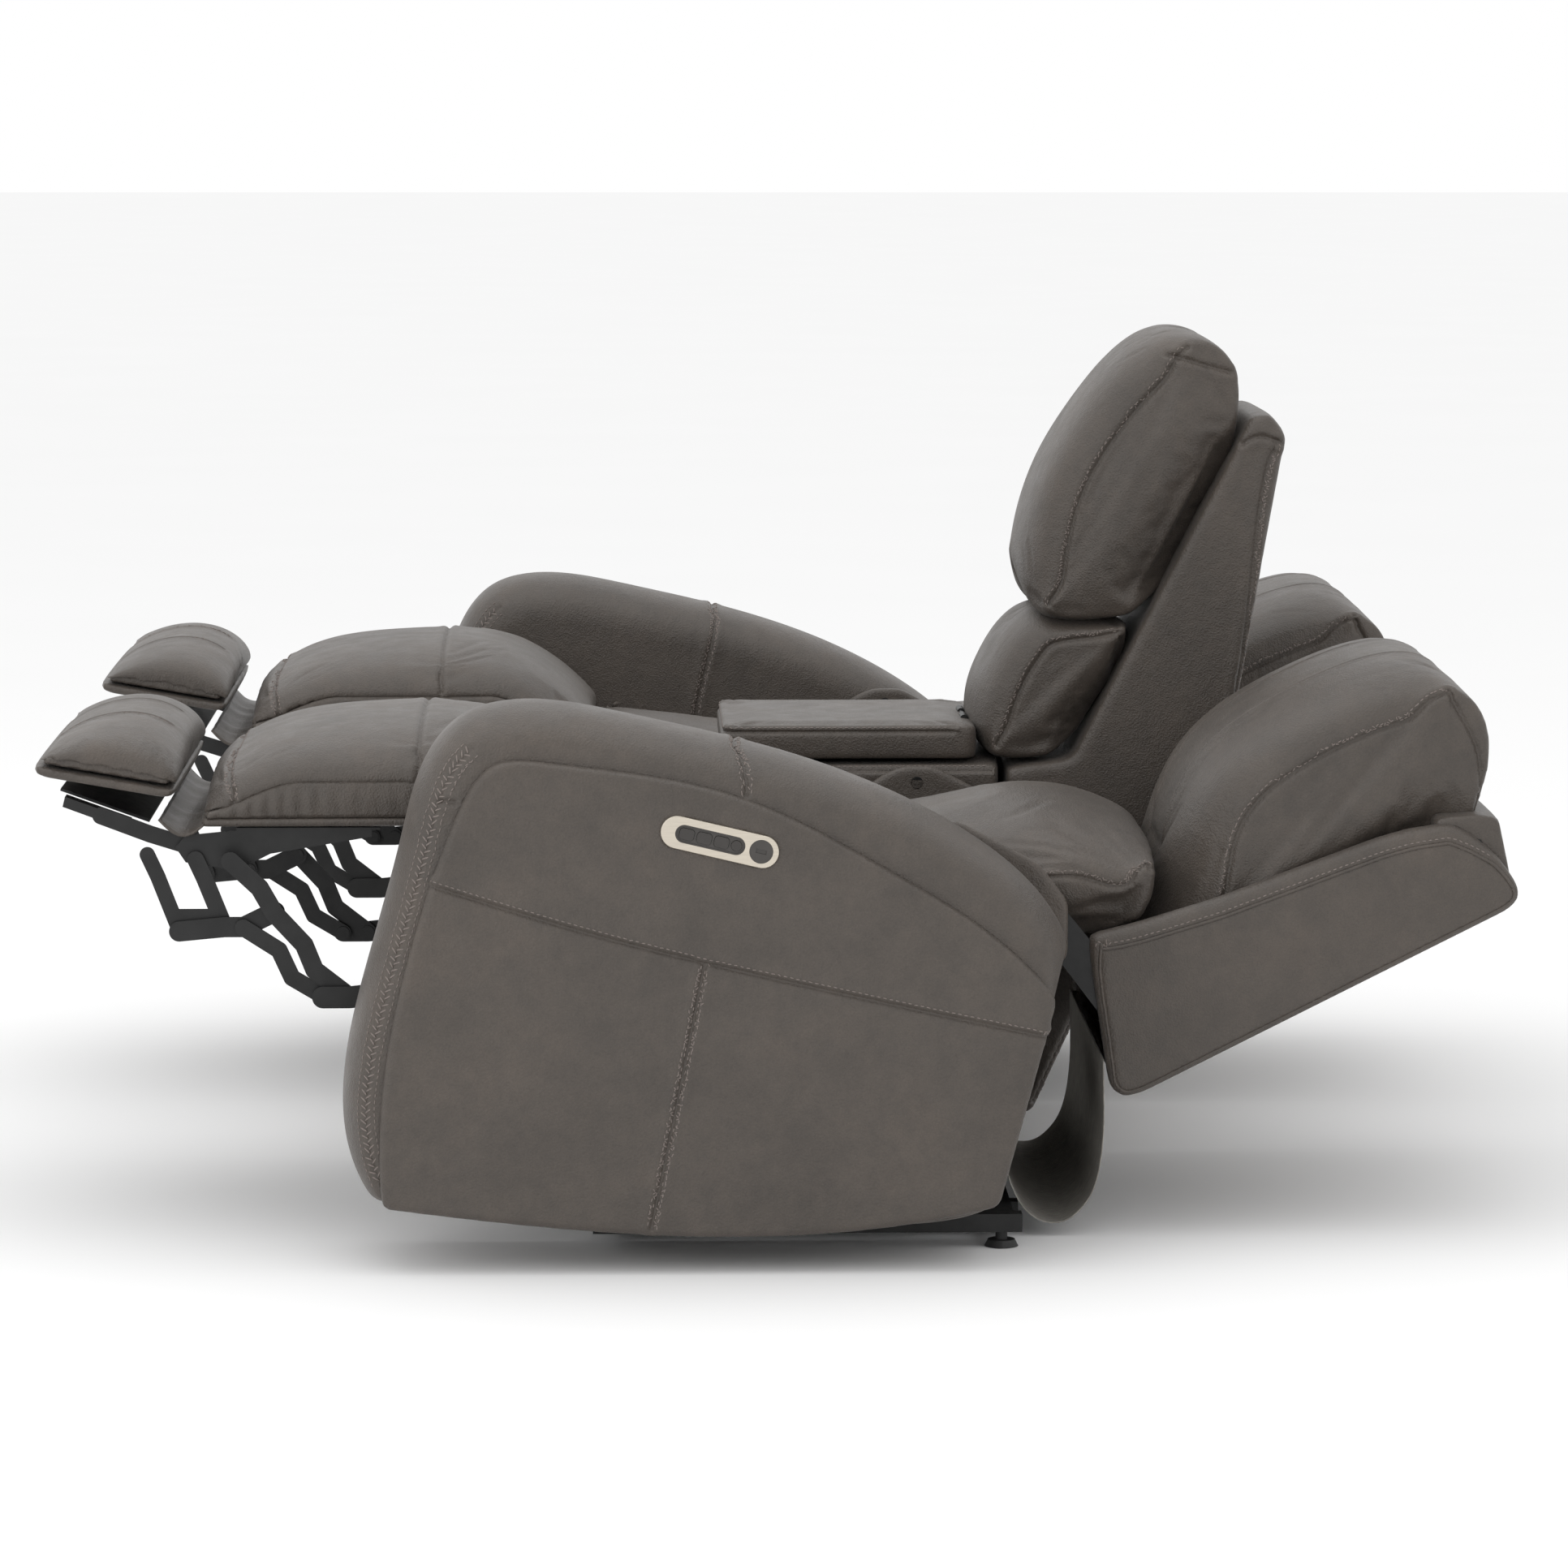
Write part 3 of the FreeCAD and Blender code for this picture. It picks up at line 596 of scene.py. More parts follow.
def cells(tree, scale):
    """Voronoi cells in the object's own coordinates: distance from the cell's middle."""
    node = tree.nodes.new("ShaderNodeTexVoronoi")
    node.feature = "SMOOTH_F1"
    node.inputs["Scale"].default_value = scale
    tree.links.new(tree.nodes.new("ShaderNodeTexCoord").outputs["Object"], node.inputs["Vector"])
    return node.outputs["Distance"]


def shades(colour, *factors):
    return [tuple(c * f for c in colour) for f in factors]


def leather(name, colour):
    """Taupe grey top-grain leather: cloudy dye, fine pebble grain, soft shine that varies."""
    material, tree, shader = new_material(name, colour, 0.45, specular=0.5)
    dark, middle, light = shades(colour, 0.84, 1.0, 1.14)
    warm = (light[0] * 1.015, light[1] * 0.995, light[2] * 0.98)
    clouds = ramp(tree, noise(tree, 7.5, 4.0, 0.6), [(0.3, dark), (0.5, middle), (0.7, warm)])
    blotches = ramp(tree, noise(tree, 42, 4.0, 0.65), [(0.33, (0.9, 0.9, 0.9)), (0.67, (1.09, 1.08, 1.07))])
    colour_out = blend_colours(tree, clouds, blotches, 1.0, "MULTIPLY")
    pores = ramp(tree, cells(tree, 520), [(0.0, (1.06, 1.06, 1.06)), (0.9, (0.8, 0.8, 0.8))])
    tree.links.new(blend_colours(tree, colour_out, pores, 1.0, "MULTIPLY"), shader.inputs["Base Color"])
    tree.links.new(levels(tree, noise(tree, 30, 4.0), 0.34, 0.58), shader.inputs["Roughness"])
    pull = bump(tree, noise(tree, 95, 4.0, 0.62, stretch=(1.0, 1.6, 1.0)), 0.0016, 0.6)
    grain = bump(tree, cells(tree, 520), 0.0009, 0.7, under=pull)
    fine = bump(tree, noise(tree, 1900, 2.0), 0.00018, 0.5, under=grain)
    tree.links.new(fine, shader.inputs["Normal"])
    shader.inputs["Sheen Weight"].default_value = 0.05
    shader.inputs["Sheen Roughness"].default_value = 0.5
    return material


def thread_material():
    material, tree, shader = new_material("thread", (0.2, 0.17, 0.155), 0.6, specular=0.3)
    twist = noise(tree, 1500, 1.0)
    tree.links.new(ramp(tree, twist, [(0.3, (0.13, 0.11, 0.1)), (0.7, (0.26, 0.22, 0.2))]),
                   shader.inputs["Base Color"])
    tree.links.new(bump(tree, twist, 0.0002, 0.6), shader.inputs["Normal"])
    return material


def coated_steel(name, colour, roughness):
    """Powder-coated steel: fine orange peel, and a tone that is a little paler or darker in patches at
    random.
    """
    material, tree, shader = new_material(name, colour, roughness, metallic=0.25, specular=0.5)
    dark, light = shades(colour, 0.8, 1.35)
    tree.links.new(ramp(tree, noise(tree, 30, 4.0), [(0.35, dark), (0.7, light)]),
                   shader.inputs["Base Color"])
    tree.links.new(levels(tree, noise(tree, 90, 2.0), roughness - 0.08, roughness + 0.12),
                   shader.inputs["Roughness"])
    tree.links.new(bump(tree, noise(tree, 1400, 2.0), 0.00015, 0.5), shader.inputs["Normal"])
    return material


def moulded(name, colour, roughness, texture=1800):
    """Moulded plastic with a fine spark texture."""
    material, tree, shader = new_material(name, colour, roughness)
    dark, light = shades(colour, 0.88, 1.12)
    tree.links.new(ramp(tree, noise(tree, 40, 2.0), [(0.3, dark), (0.7, light)]), shader.inputs["Base Color"])
    tree.links.new(levels(tree, noise(tree, 120, 2.0), roughness - 0.05, roughness + 0.07),
                   shader.inputs["Roughness"])
    tree.links.new(bump(tree, noise(tree, texture, 2.0), 0.00008, 0.4), shader.inputs["Normal"])
    return material


def brushed(name, colour, roughness, stretch):
    """Metal or metallised trim with a fine brushed direction."""
    material, tree, shader = new_material(name, colour, roughness, metallic=0.55)
    lines = noise(tree, 300, 3.0, 0.6, stretch=stretch)
    dark, light = shades(colour, 0.9, 1.08)
    tree.links.new(ramp(tree, lines, [(0.3, dark), (0.7, light)]), shader.inputs["Base Color"])
    tree.links.new(levels(tree, lines, roughness - 0.06, roughness + 0.08), shader.inputs["Roughness"])
    tree.links.new(bump(tree, lines, 0.00004, 0.5), shader.inputs["Normal"])
    return material


def woven(name, colour, scale):
    """Woven or felted cloth: two crossed sets of threads."""
    material, tree, shader = new_material(name, colour, 0.85, specular=0.2)
    warp, weft = (noise(tree, scale, 1.0, stretch=s) for s in ((1.0, 0.12, 0.12), (0.12, 1.0, 1.0)))
    dark, light = shades(colour, 0.75, 1.25)
    tree.links.new(ramp(tree, warp, [(0.3, dark), (0.7, light)]), shader.inputs["Base Color"])
    tree.links.new(bump(tree, weft, 0.0003, 0.6, under=bump(tree, warp, 0.0003, 0.6)),
                   shader.inputs["Normal"])
    return material


def timber(name, colour):
    material, tree, shader = new_material(name, colour, 0.6)
    grain = noise(tree, 18, 5.0, 0.65, stretch=(6.0, 0.6, 6.0))
    dark, light = shades(colour, 0.7, 1.2)
    tree.links.new(ramp(tree, grain, [(0.35, dark), (0.65, light)]), shader.inputs["Base Color"])
    tree.links.new(bump(tree, grain, 0.0004, 0.5), shader.inputs["Normal"])
    return material


LEATHER_COLOUR = (0.072, 0.0595, 0.0495)
MATERIALS = {
    "leather": leather("leather", LEATHER_COLOUR),
    "thread": thread_material(),
    "black_steel": coated_steel("black_steel", (0.012, 0.012, 0.012), 0.42),
    "rail_steel": coated_steel("rail_steel", (0.016, 0.016, 0.016), 0.5),
    "spring_steel": coated_steel("spring_steel", (0.16, 0.155, 0.15), 0.35),
    "bezel": brushed("bezel", (0.60, 0.545, 0.46), 0.34, (1.0, 0.1, 4.0)),
    "cup_metal": brushed("cup_metal", (0.23, 0.22, 0.21), 0.3, (1.0, 1.0, 6.0)),
    "button": moulded("button", (0.035, 0.031, 0.028), 0.28),
    "switch_plastic": moulded("switch_plastic", (0.05, 0.045, 0.041), 0.36),
    "drive_plastic": moulded("drive_plastic", (0.02, 0.02, 0.021), 0.5),
    "glide": moulded("glide", (0.015, 0.015, 0.015), 0.55),
    "lining": woven("lining", (0.012, 0.012, 0.012), 900),
    "skirt": leather("skirt", (0.02, 0.018, 0.015)),
    "backing": woven("backing", (0.30, 0.285, 0.26), 700),
    "wood": timber("wood", (0.36, 0.24, 0.13)),
}
LEATHER = MATERIALS["leather"]
ON_BASE = dict(body="base")
ON_BACK = dict(body="left_back")


def dress_frame():
    """A finish for every CAD node that stays in view."""
    finishes = {
        "base_rails": "rail_steel", "glide_feet": "glide", "arm_frames": "wood", "switch_bezels": "bezel",
        "switch_inserts": "switch_plastic", "lid_hinge": "black_steel", "console_back_frame": "wood",
        "cup_holders": "cup_metal", "power_supply": "drive_plastic", "actuators": "drive_plastic",
        "mechanism_plates": "black_steel", "seat_frames": "black_steel", "seat_springs": "spring_steel",
    }
    for side in ("left", "right"):
        for part in ("back_frame", "legrest_brackets", "flap_frame", "cranks", "main_links", "side_links",
                     "cross_links", "drop_links"):
            finishes[f"{side}_{part}"] = "black_steel"
        for part in ("raise", "lower", "head", "home"):
            finishes[f"{side}_{part}_button"] = "button"
    for node, finish in finishes.items():
        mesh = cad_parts[node].data
        mesh.materials.clear()
        mesh.materials.append(MATERIALS[finish])


# ---------------------------------------------------------------- arms
def arm():
    """Arm cover with its rolled crown, the raised side panel, and their seams."""
    inner, cover_face = (corner.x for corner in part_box("left_arm_cover"))
    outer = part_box("left_side_panel")[1].x
    middle = (inner + outer) / 2
    loop = soft_loop(outline("left_arm_cover", inner), 0.008)
    welt = soft_loop(outline("left_side_panel", outer), 0.006)
    gap, _ = distance_to(np.column_stack([np.zeros(len(loop)), loop]),
                         np.column_stack([np.zeros(len(welt)), welt]), 0.2)
    roll = averaged(np.clip(gap + 0.004, 0.008, 0.056), 10)
    cover = slab("left_arm_leather", loop, inner, cover_face - 0.003, drawn_in(loop, roll), 2.4)
    voxel(cover, 0.006)

    def side_point(p, x=outer):
        return (x, p[0], p[1])

    above_hem = loop[:, 1] > place("left_arm_cover", up=0.06)
    front_part = loop[(loop[:, 0] < place("left_arm_cover", along=0.17)) & above_hem]
    front_part = front_part[np.argsort(front_part[:, 1])]
    front_depth = 0.024
    normals = inward(loop)
    edge = [p + normals[np.argmin(np.linalg.norm(loop - p, axis=1))] * front_depth for p in front_part]
    edge = averaged(spaced(edge), 6, closed=False)
    outer_edge = np.array([side_point(p, outer - 0.006) for p in edge])
    inner_edge = np.array([side_point(p, inner + 0.006) for p in edge])
    cross_y = place("left_arm_cover", along=0.555)
    top = place("left_arm_cover", up=1.0)
    cross = curve([(outer - 0.008, cross_y, top - 0.10), (outer - 0.02, cross_y, top - 0.055),
                   (middle + 0.05, cross_y, top), (middle, cross_y, top), (middle - 0.05, cross_y, top),
                   (inner + 0.012, cross_y - 0.006, top - 0.055), (inner, cross_y - 0.035, top - 0.18),
                   (inner, cross_y - 0.06, top - 0.30)])
    short_z = place("left_arm_cover", up=0.83)
    boxing_front = np.interp(short_z, edge[:, 1], edge[:, 0])
    short = curve([(outer - 0.006, boxing_front + 0.003, short_z),
                   (outer - 0.004, boxing_front + 0.012, short_z - 0.001),
                   (outer - 0.003, boxing_front + 0.024, short_z - 0.003)])
    sew(cover, [(outer_edge, "baseball", None), (inner_edge, "baseball", None), (cross, "double", None),
                (short, "plain", None)], ON_BASE)
    fit(cover, "base", covers=["left_arm_cover"], slot="leather", fill=0.9)

    panel = slab("left_side_panel_leather", welt, cover_face - 0.012, outer, drawn_in(welt, 0.005), 2.2)
    voxel(panel, 0.0045, 4)
    sweep = curve([side_point(place("left_arm_cover", along=a, up=u)) for a, u in
                   ((0.115, 0.675), (0.317, 0.589), (0.5, 0.523), (0.755, 0.443), (0.985, 0.375))])
    drop = curve([side_point(place("left_arm_cover", along=a, up=u))
                  for a, u in ((0.497, 0.518), (0.46, 0.26), (0.424, 0.02))])
    sew(panel, [(sweep, "over", (0, 0, 1)), (drop, "double", None)], ON_BASE)
    sink_under_switch(panel)
    fit(panel, "base", covers=["left_side_panel"], slot="leather", fill=0.8)


def sink_under_switch(panel):
    """Opens the leather under the control panel, so that its tray and keys show."""
    low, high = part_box("switch_bezels")
    ends = [Vector((0, low.y + 0.019, high.z - 0.019)), Vector((0, high.y - 0.019, low.z + 0.019))]
    along = np.array(ends[1] - ends[0])[1:]
    length = np.linalg.norm(along)
    along /= length
    co = points_of(panel)
    from_end = co[:, 1:] - np.array(ends[0])[1:]
    t = np.clip(from_end @ along, 0, length)
    distance = np.linalg.norm(from_end - t[:, None] * along, axis=1)
    inside = distance < 0.0145
    co[inside, 0] = np.minimum(co[inside, 0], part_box("left_side_panel")[0].x - 0.004)
    move_points(panel, co)


# ---------------------------------------------------------------- console
def console():
    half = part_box("console_body")[1].x
    loop = soft_loop(outline("console_body", half), 0.006)
    body = slab("console_leather", loop, -half, half, drawn_in(loop, 0.012), 2.6, stations=15)
    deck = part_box("console_body")[1].z
    bin_low, bin_high = (-0.130, -0.035, 0.200), (0.130, 0.215, deck + 0.02)
    cut_away(body, box_mesh("bin_cutter", bin_low, bin_high))
    cup_low, cup_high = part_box("cup_holders")
    cup_radius = (cup_high.y - cup_low.y) / 2 - 0.004
    cup_y, cup_x = (cup_low.y + cup_high.y) / 2, cup_high.x - (cup_high.y - cup_low.y) / 2
    for side in (-1, 1):
        well = cylinder_mesh("cup_cutter", (side * cup_x, cup_y), cup_radius, cup_low.z - 0.003, deck + 0.02)
        cut_away(body, well)
    voxel(body, 0.005, 5)
    edge_z = deck - 0.008
    rear_y, front_y = place("console_body", along=0.985), place("console_body", along=0.12)
    seams = [(curve([(s * half, front_y, edge_z), (s * half, 0.0, edge_z), (s * half, rear_y, edge_z)]),
              "over", (0, 0, 1)) for s in (-1, 1)]
    cross = curve([(-half + 0.004, -0.062, deck), (0, -0.062, deck), (half - 0.004, -0.062, deck)])
    sew(body, seams + [(cross, "plain", None)], ON_BASE)
    fit(body, "base", covers=["console_body"], slot="leather", fill=0.9)
    tray = tray_mesh("console_bin_liner", bin_low, bin_high[:2] + (deck + 0.001,), 0.0025)
    fit(tray, "base")


def box_mesh(name, low, high):
    (x0, y0, z0), (x1, y1, z1) = low, high
    loop = np.array([(x0, y0), (x1, y0), (x1, y1), (x0, y1)])
    rings = [np.column_stack([loop, np.full(4, z)]) for z in (z0, z1)]
    return loft(name, rings, MATERIALS["lining"])


def circle(centre, radius, count=64):
    a = 2 * math.pi * np.arange(count) / count
    return np.column_stack([centre[0] + radius * np.cos(a), centre[1] + radius * np.sin(a)])


def cylinder_mesh(name, centre, radius, z0, z1):
    loop = circle(centre, radius)
    return loft(name, [np.column_stack([loop, np.full(len(loop), z)]) for z in (z0, z1)], MATERIALS["lining"])


def round_box(x0, x1, y0, y1, radius, step=0.004):
    """Anticlockwise rectangle with round corners."""
    corners = ((x1 - radius, y0 + radius, -90), (x1 - radius, y1 - radius, 0), (x0 + radius, y1 - radius, 90),
               (x0 + radius, y0 + radius, 180))
    points = []
    for x, y, start in corners:
        for a in np.radians(np.linspace(start, start + 90, 9)):
            points.append((x + radius * math.cos(a), y + radius * math.sin(a)))
    return spaced(points, step, closed=True)


def tray_mesh(name, low, high, wall):
    play = 0.0005
    outer = round_box(low[0] + play, high[0] - play, low[1] + play, high[1] - play, 0.012)
    inner = drawn_in(outer, wall)
    floor = drawn_in(inner, 0.006)
    levels_of = ((outer, low[2]), (outer, high[2]), (inner, high[2]), (inner, low[2] + 0.008),
                 (floor, low[2] + wall))
    rings = [np.column_stack([ring, np.full(len(ring), z)]) for ring, z in levels_of]
    return loft(name, rings, MATERIALS["lining"])


def console_lid():
    low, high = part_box("console_lid")
    rear = high.y + 0.006
    deck_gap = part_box("console_body")[1].z + 0.002
    loop = round_box(low.x, high.x, low.y, rear, 0.022)
    lid = slab("console_lid_leather", loop, deck_gap, high.z - 0.003, drawn_in(loop, 0.007), 3.4, axis=2,
               low_rim=drawn_in(loop, 0.004))
    voxel(lid, 0.0045, 6)
    seam_z = high.z - 0.010
    ring = np.vstack([loop, loop[:1]])
    top_seam = np.column_stack([ring, np.full(len(ring), seam_z)])
    low_seam = np.column_stack([ring, np.full(len(ring), deck_gap + 0.004)])
    inflate(lid, [spaced(top_seam, 0.003), spaced(low_seam, 0.003)], 0.003, pressure=3.0)
    front_run = top_seam[:-1][loop[:, 1] < rear - 0.03]
    turn_y = (low.y + rear) / 2 + 0.12
    front_run = front_run[np.argsort(np.arctan2(front_run[:, 0], turn_y - front_run[:, 1]))]
    sew(lid, [(spaced(front_run), "over", (0, 0, 1))], dict(body="console_lid"))
    base = round_box(-0.124, 0.124, -0.025, 0.19, 0.01)
    plug_levels = ((0.97, low.z), (1.0, low.z + 0.003), (1.0, deck_gap + 0.003))
    rings = [np.column_stack([base * scale, np.full(len(base), z)]) for scale, z in plug_levels]
    plug = loft("console_lid_underside", rings, MATERIALS["lining"])
    fit(plug, "console_lid")
    fit(lid, "console_lid", covers=["console_lid"], slot="leather", fill=0.8)


def front_pull(loop, front, rest, toward=(-1.0, 0.35)):
    """How far the rim is drawn in: front where the outline faces forwards, rest elsewhere."""
    facing = -(inward(loop) @ (np.array(toward) / np.linalg.norm(toward)))
    return averaged(rest + (front - rest) * smoothstep(facing, 0.0, 0.75), 6)


def console_back():
    """Fixed console back: shell with its side panels, lumbar pillow and upper pillow."""
    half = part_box("console_wings")[1].x
    loop = soft_loop(outline("console_wings", half), 0.006)
    rim = drawn_in(loop, front_pull(loop, 0.003, 0.006))
    shell = slab("console_back_leather", loop, -half, half, rim, 3.0)
    voxel(shell, 0.0055, 6)
    seams = []
    for s in (-1, 1):
        rear = curve([(s * half, *place("console_wings", along=a, up=u))
                      for a, u in ((0.955, 0.955), (0.90, 0.87), (0.745, 0.42), (0.28, 0.145), (0.12, 0.02))])
        top = curve([(s * half, *place("console_wings", along=a, up=u))
                     for a, u in ((0.83, 0.955), (0.90, 0.965), (0.985, 0.955))])
        seams += [(rear, "over", None), (top, "plain", None)]
    sew(shell, seams, ON_BASE)
    fit(shell, "base", covers=["console_wings"], slot="leather", fill=0.9)

    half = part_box("console_upper_pillow")[1].x
    loop = soft_loop(outline("console_upper_pillow", half), 0.010)
    pull = front_pull(loop, 0.050, 0.000)
    rim = drawn_in(loop, pull)
    end = half - 0.002
    upper = slab("console_upper_pillow_leather", drawn_in(loop, -0.004), -half + 0.002, end, rim, 3.2)
    voxel(upper, rounds=5)
    side_seams = rim_seams(rim, pull > 0.012, (-end, end), 2)
    inflate(upper, side_seams, 0.014)
    cap_seams = [curve([(s * half, *place("console_upper_pillow", along=a, up=u))
                        for a, u in ((0.66, 0.93), (0.82, 0.895), (0.97, 0.865))]) for s in (-1, 1)]
    sew(upper, [(seam, "under" if seam[0, 0] < 0 else "over", None) for seam in side_seams]
        + [(seam, "plain", None) for seam in cap_seams], ON_BASE)
    fit(upper, "base", covers=["console_upper_pillow"], slot="leather", fill=0.85)

    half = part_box("console_lumbar_pillow")[1].x
    loop = soft_loop(outline("console_lumbar_pillow", half), 0.008)
    loop[:, 0] += 0.026 * smoothstep(loop[:, 0], loop[:, 0].mean(), loop[:, 0].max())
    loop[:, 1] += 0.009 * smoothstep(loop[:, 1], loop[:, 1].mean(), loop[:, 1].max())
    loop[:, 1] -= 0.009 * smoothstep(loop[:, 1], loop[:, 1].mean(), loop[:, 1].min())
    pull = front_pull(loop, 0.046, 0.000, toward=(-1.0, 0.5))
    rim = drawn_in(loop, pull)
    end = half - 0.002
    lumbar = slab("console_lumbar_leather", drawn_in(loop, -0.003), -half + 0.002, end, rim, 3.0)
    voxel(lumbar, rounds=5)
    side_seams = rim_seams(rim, pull > 0.012, (-end, end), 2)
    inflate(lumbar, side_seams, 0.012)
    sew(lumbar, [(seam, "under" if seam[0, 0] < 0 else "over", None) for seam in side_seams], ON_BASE)
    fit(lumbar, "base", covers=["console_lumbar_pillow"], slot="leather", fill=0.85)


# ---------------------------------------------------------------- seat, leg rest and flap
SEAT_LEFT, SEAT_RIGHT = (corner.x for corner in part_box("left_legrest_pad"))
SEAT_MID = (SEAT_LEFT + SEAT_RIGHT) / 2
CHANNEL = 0.08              # each stitched line from the middle of a seat
FOLD_BEND = ((0, -0.375, 0.5), (0, -0.475, 0.5))


def envelope(loops, ys):
    """Highest z of several outlines at each y, with gaps bridged."""
    heights = np.full(len(ys), np.nan)
    for loop in loops:
        closed = np.vstack([loop, loop[:1]])
        for a, b in zip(closed, closed[1:]):
            low, high = min(a[0], b[0]), max(a[0], b[0])
            if high - low < 1e-6:
                continue
            inside = (ys >= low) & (ys <= high)
            z = a[1] + (b[1] - a[1]) * (ys[inside] - a[0]) / (b[0] - a[0])
            heights[inside] = np.fmax(heights[inside], z)
    known = ~np.isnan(heights)
    return np.interp(ys, ys[known], heights[known])


def chaise():
    """Leg-rest pad that runs on over the seat's front edge, with its gathered border underneath."""
    pad = outline("left_legrest_pad", SEAT_LEFT)
    bridge = outline("left_seat_cushion", SEAT_LEFT)
    nose, rear = pad[:, 0].min(), bridge[:, 0].max()
    board_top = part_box("left_legrest_pad")[0].z
    ys = np.linspace(nose + 0.001, rear - 0.001, 200)
    tops = averaged(envelope([pad, bridge], ys), 3, closed=False) - 0.007
    rise = 0.040
    seam_z = (board_top - 0.006 + rise * smoothstep(ys, nose - 0.012, nose + 0.125)
              - 0.075 * smoothstep(ys, -0.36, rear))
    under = np.column_stack([ys, np.minimum(seam_z, tops - 0.012)])
    upper = np.column_stack([ys, tops])
    loop = soft_loop(np.vstack([under, upper[::-1]]), 0.007)
    seam_of = np.interp(loop[:, 0], under[:, 0], under[:, 1])
    nose_roll = 0.004 * smoothstep(loop[:, 0], nose + 0.03, nose) * 2
    rim = np.column_stack([loop[:, 0] + nose_roll, seam_of + 0.003])
    ends = SEAT_LEFT + 0.004, SEAT_RIGHT - 0.004
    leather_pad = slab("left_chaise_leather", loop, *ends, rim, 2.7, stations=21)
    voxel(leather_pad)
    seam_lines = [np.column_stack([np.full(len(under), x), under]) for x in ends]
    nose_seam = spaced([(SEAT_LEFT, nose, board_top - 0.004), (SEAT_RIGHT, nose, board_top - 0.004)], 0.003)

    def across(y, slope=0.0):
        z = float(np.interp(y, ys, tops))
        down = float(np.interp(y, under[:, 0], under[:, 1]))
        return curve([(SEAT_LEFT + 0.002, y + slope, down + 0.01), (SEAT_LEFT + 0.03, y, z - 0.02),
                      (SEAT_MID, y, z), (SEAT_RIGHT - 0.03, y, z - 0.02),
                      (SEAT_RIGHT - 0.002, y + slope, down + 0.01)])

    crosses = [across(nose + 0.036, 0.006), across(-0.424)]
    held = [spaced(line, 0.003) for line in seam_lines] + [nose_seam] + crosses
    inflate(leather_pad, held, 0.007)
    bend = dict(body="base", bend=("left_legrest", *FOLD_BEND))
    for k in range(7):
        x = SEAT_LEFT + 0.05 + k * (SEAT_RIGHT - SEAT_LEFT - 0.1) / 6
        crease(leather_pad, (x, nose + 0.002, board_top + 0.012),
               (x + 0.004 * (-1) ** k, nose + 0.02, board_top + 0.05), 0.0012, 0.003)
    edges = [(spaced(line), "plain", None) for line in seam_lines[::-1]]
    sew(leather_pad, [(crosses[0], "double", None), (crosses[1], "plain", None)] + edges, bend)
    gathered_border(under, nose, board_top, bend)
    fit(leather_pad, "base", bend=bend["bend"], covers=["left_legrest_pad"], slot="leather", fill=0.75)


def gathered_border(under, nose, board_top, bend):
    """Strip sewn under the pad's edge, gathered into small upright folds, down to the board."""
    inset = 0.006
    front = [(SEAT_LEFT + inset, nose + 0.012), (SEAT_RIGHT - inset, nose + 0.012)]
    rear_y = -0.23
    path = spaced([(SEAT_LEFT + inset, rear_y), front[0], front[1], (SEAT_RIGHT - inset, rear_y)], 0.0025)
    run = np.arange(len(path)) * 0.0025
    outward = np.array([(-1, 0) if x < SEAT_LEFT + 0.01 else (1, 0) if x > SEAT_RIGHT - 0.01 else (0, -1)
                        for x, _ in path])
    top = np.interp(path[:, 1], under[:, 0], under[:, 1]) + 0.004
    bottom = np.minimum(np.full(len(path), board_top - 0.004), top - 0.006)
    wave = np.sin(2 * math.pi * run / 0.021 + 1.3 * np.sin(run / 0.033)) * (0.6 + 0.4 * np.sin(run / 0.05))
    rings = []
    for f in np.linspace(0, 1, 9):
        bulge = 0.004 * math.sin(math.pi * f)
        out = path + outward * (bulge + 0.0012 * wave * math.sin(math.pi * min(1.0, f * 1.2) * 0.8))[:, None]
        rings.append(np.column_stack([out, top + (bottom - top) * f]))
    border = loft("left_chaise_border", rings, LEATHER, closed=False, caps=False)
    solid = border.modifiers.new("thickness", "SOLIDIFY")
    solid.thickness = 0.0015
    settle_modifiers(border)
    fit(border, **bend, slot="leather")


def boards():
    """Leather-wrapped board of the leg rest, and the limp strip between it and the flap."""
    loop = soft_loop(outline("left_legrest_board", SEAT_LEFT), 0.003, 0.002)
    board = slab("left_legrest_board_leather", loop, SEAT_LEFT + 0.002, SEAT_RIGHT - 0.002,
                 drawn_in(loop, 0.004), 2.4, stations=11)
    voxel(board, 0.004, 3)
    fit(board, "left_legrest", covers=["left_legrest_board"], slot="leather")
    flap_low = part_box("left_flap_pad")
    board_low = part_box("left_legrest_board")[0]
    start = (flap_low[1].y - 0.026, flap_low[0].z + 0.004)
    end = (board_low.y + 0.006, board_low.z + 0.008)
    rings = []
    for f in np.linspace(0, 1, 15):
        sag = -0.012 * math.sin(math.pi * f)
        y, z = start[0] + (end[0] - start[0]) * f, start[1] + (end[1] - start[1]) * f + sag
        xs = np.linspace(SEAT_LEFT + 0.006, SEAT_RIGHT - 0.006, 90)
        ripple = 0.0016 * np.sin(xs * 55 + 2 * np.sin(xs * 21)) * math.sin(math.pi * f)
        curl = -0.004 * np.exp(-((xs - xs[-1]) / 0.012) ** 2) - 0.004 * np.exp(-((xs - xs[0]) / 0.012) ** 2)
        rings.append(np.column_stack([xs, np.full(len(xs), y), z + ripple + curl * math.sin(math.pi * f)]))
    strip = loft("left_flap_strip", rings, LEATHER, closed=False, caps=False)
    solid = strip.modifiers.new("thickness", "SOLIDIFY")
    solid.thickness = 0.003
    settle_modifiers(strip)
    bend = ("left_flap", (0, end[0], end[1]), (0, start[0], start[1]))
    fit(strip, "left_legrest", bend=bend, slot="leather")


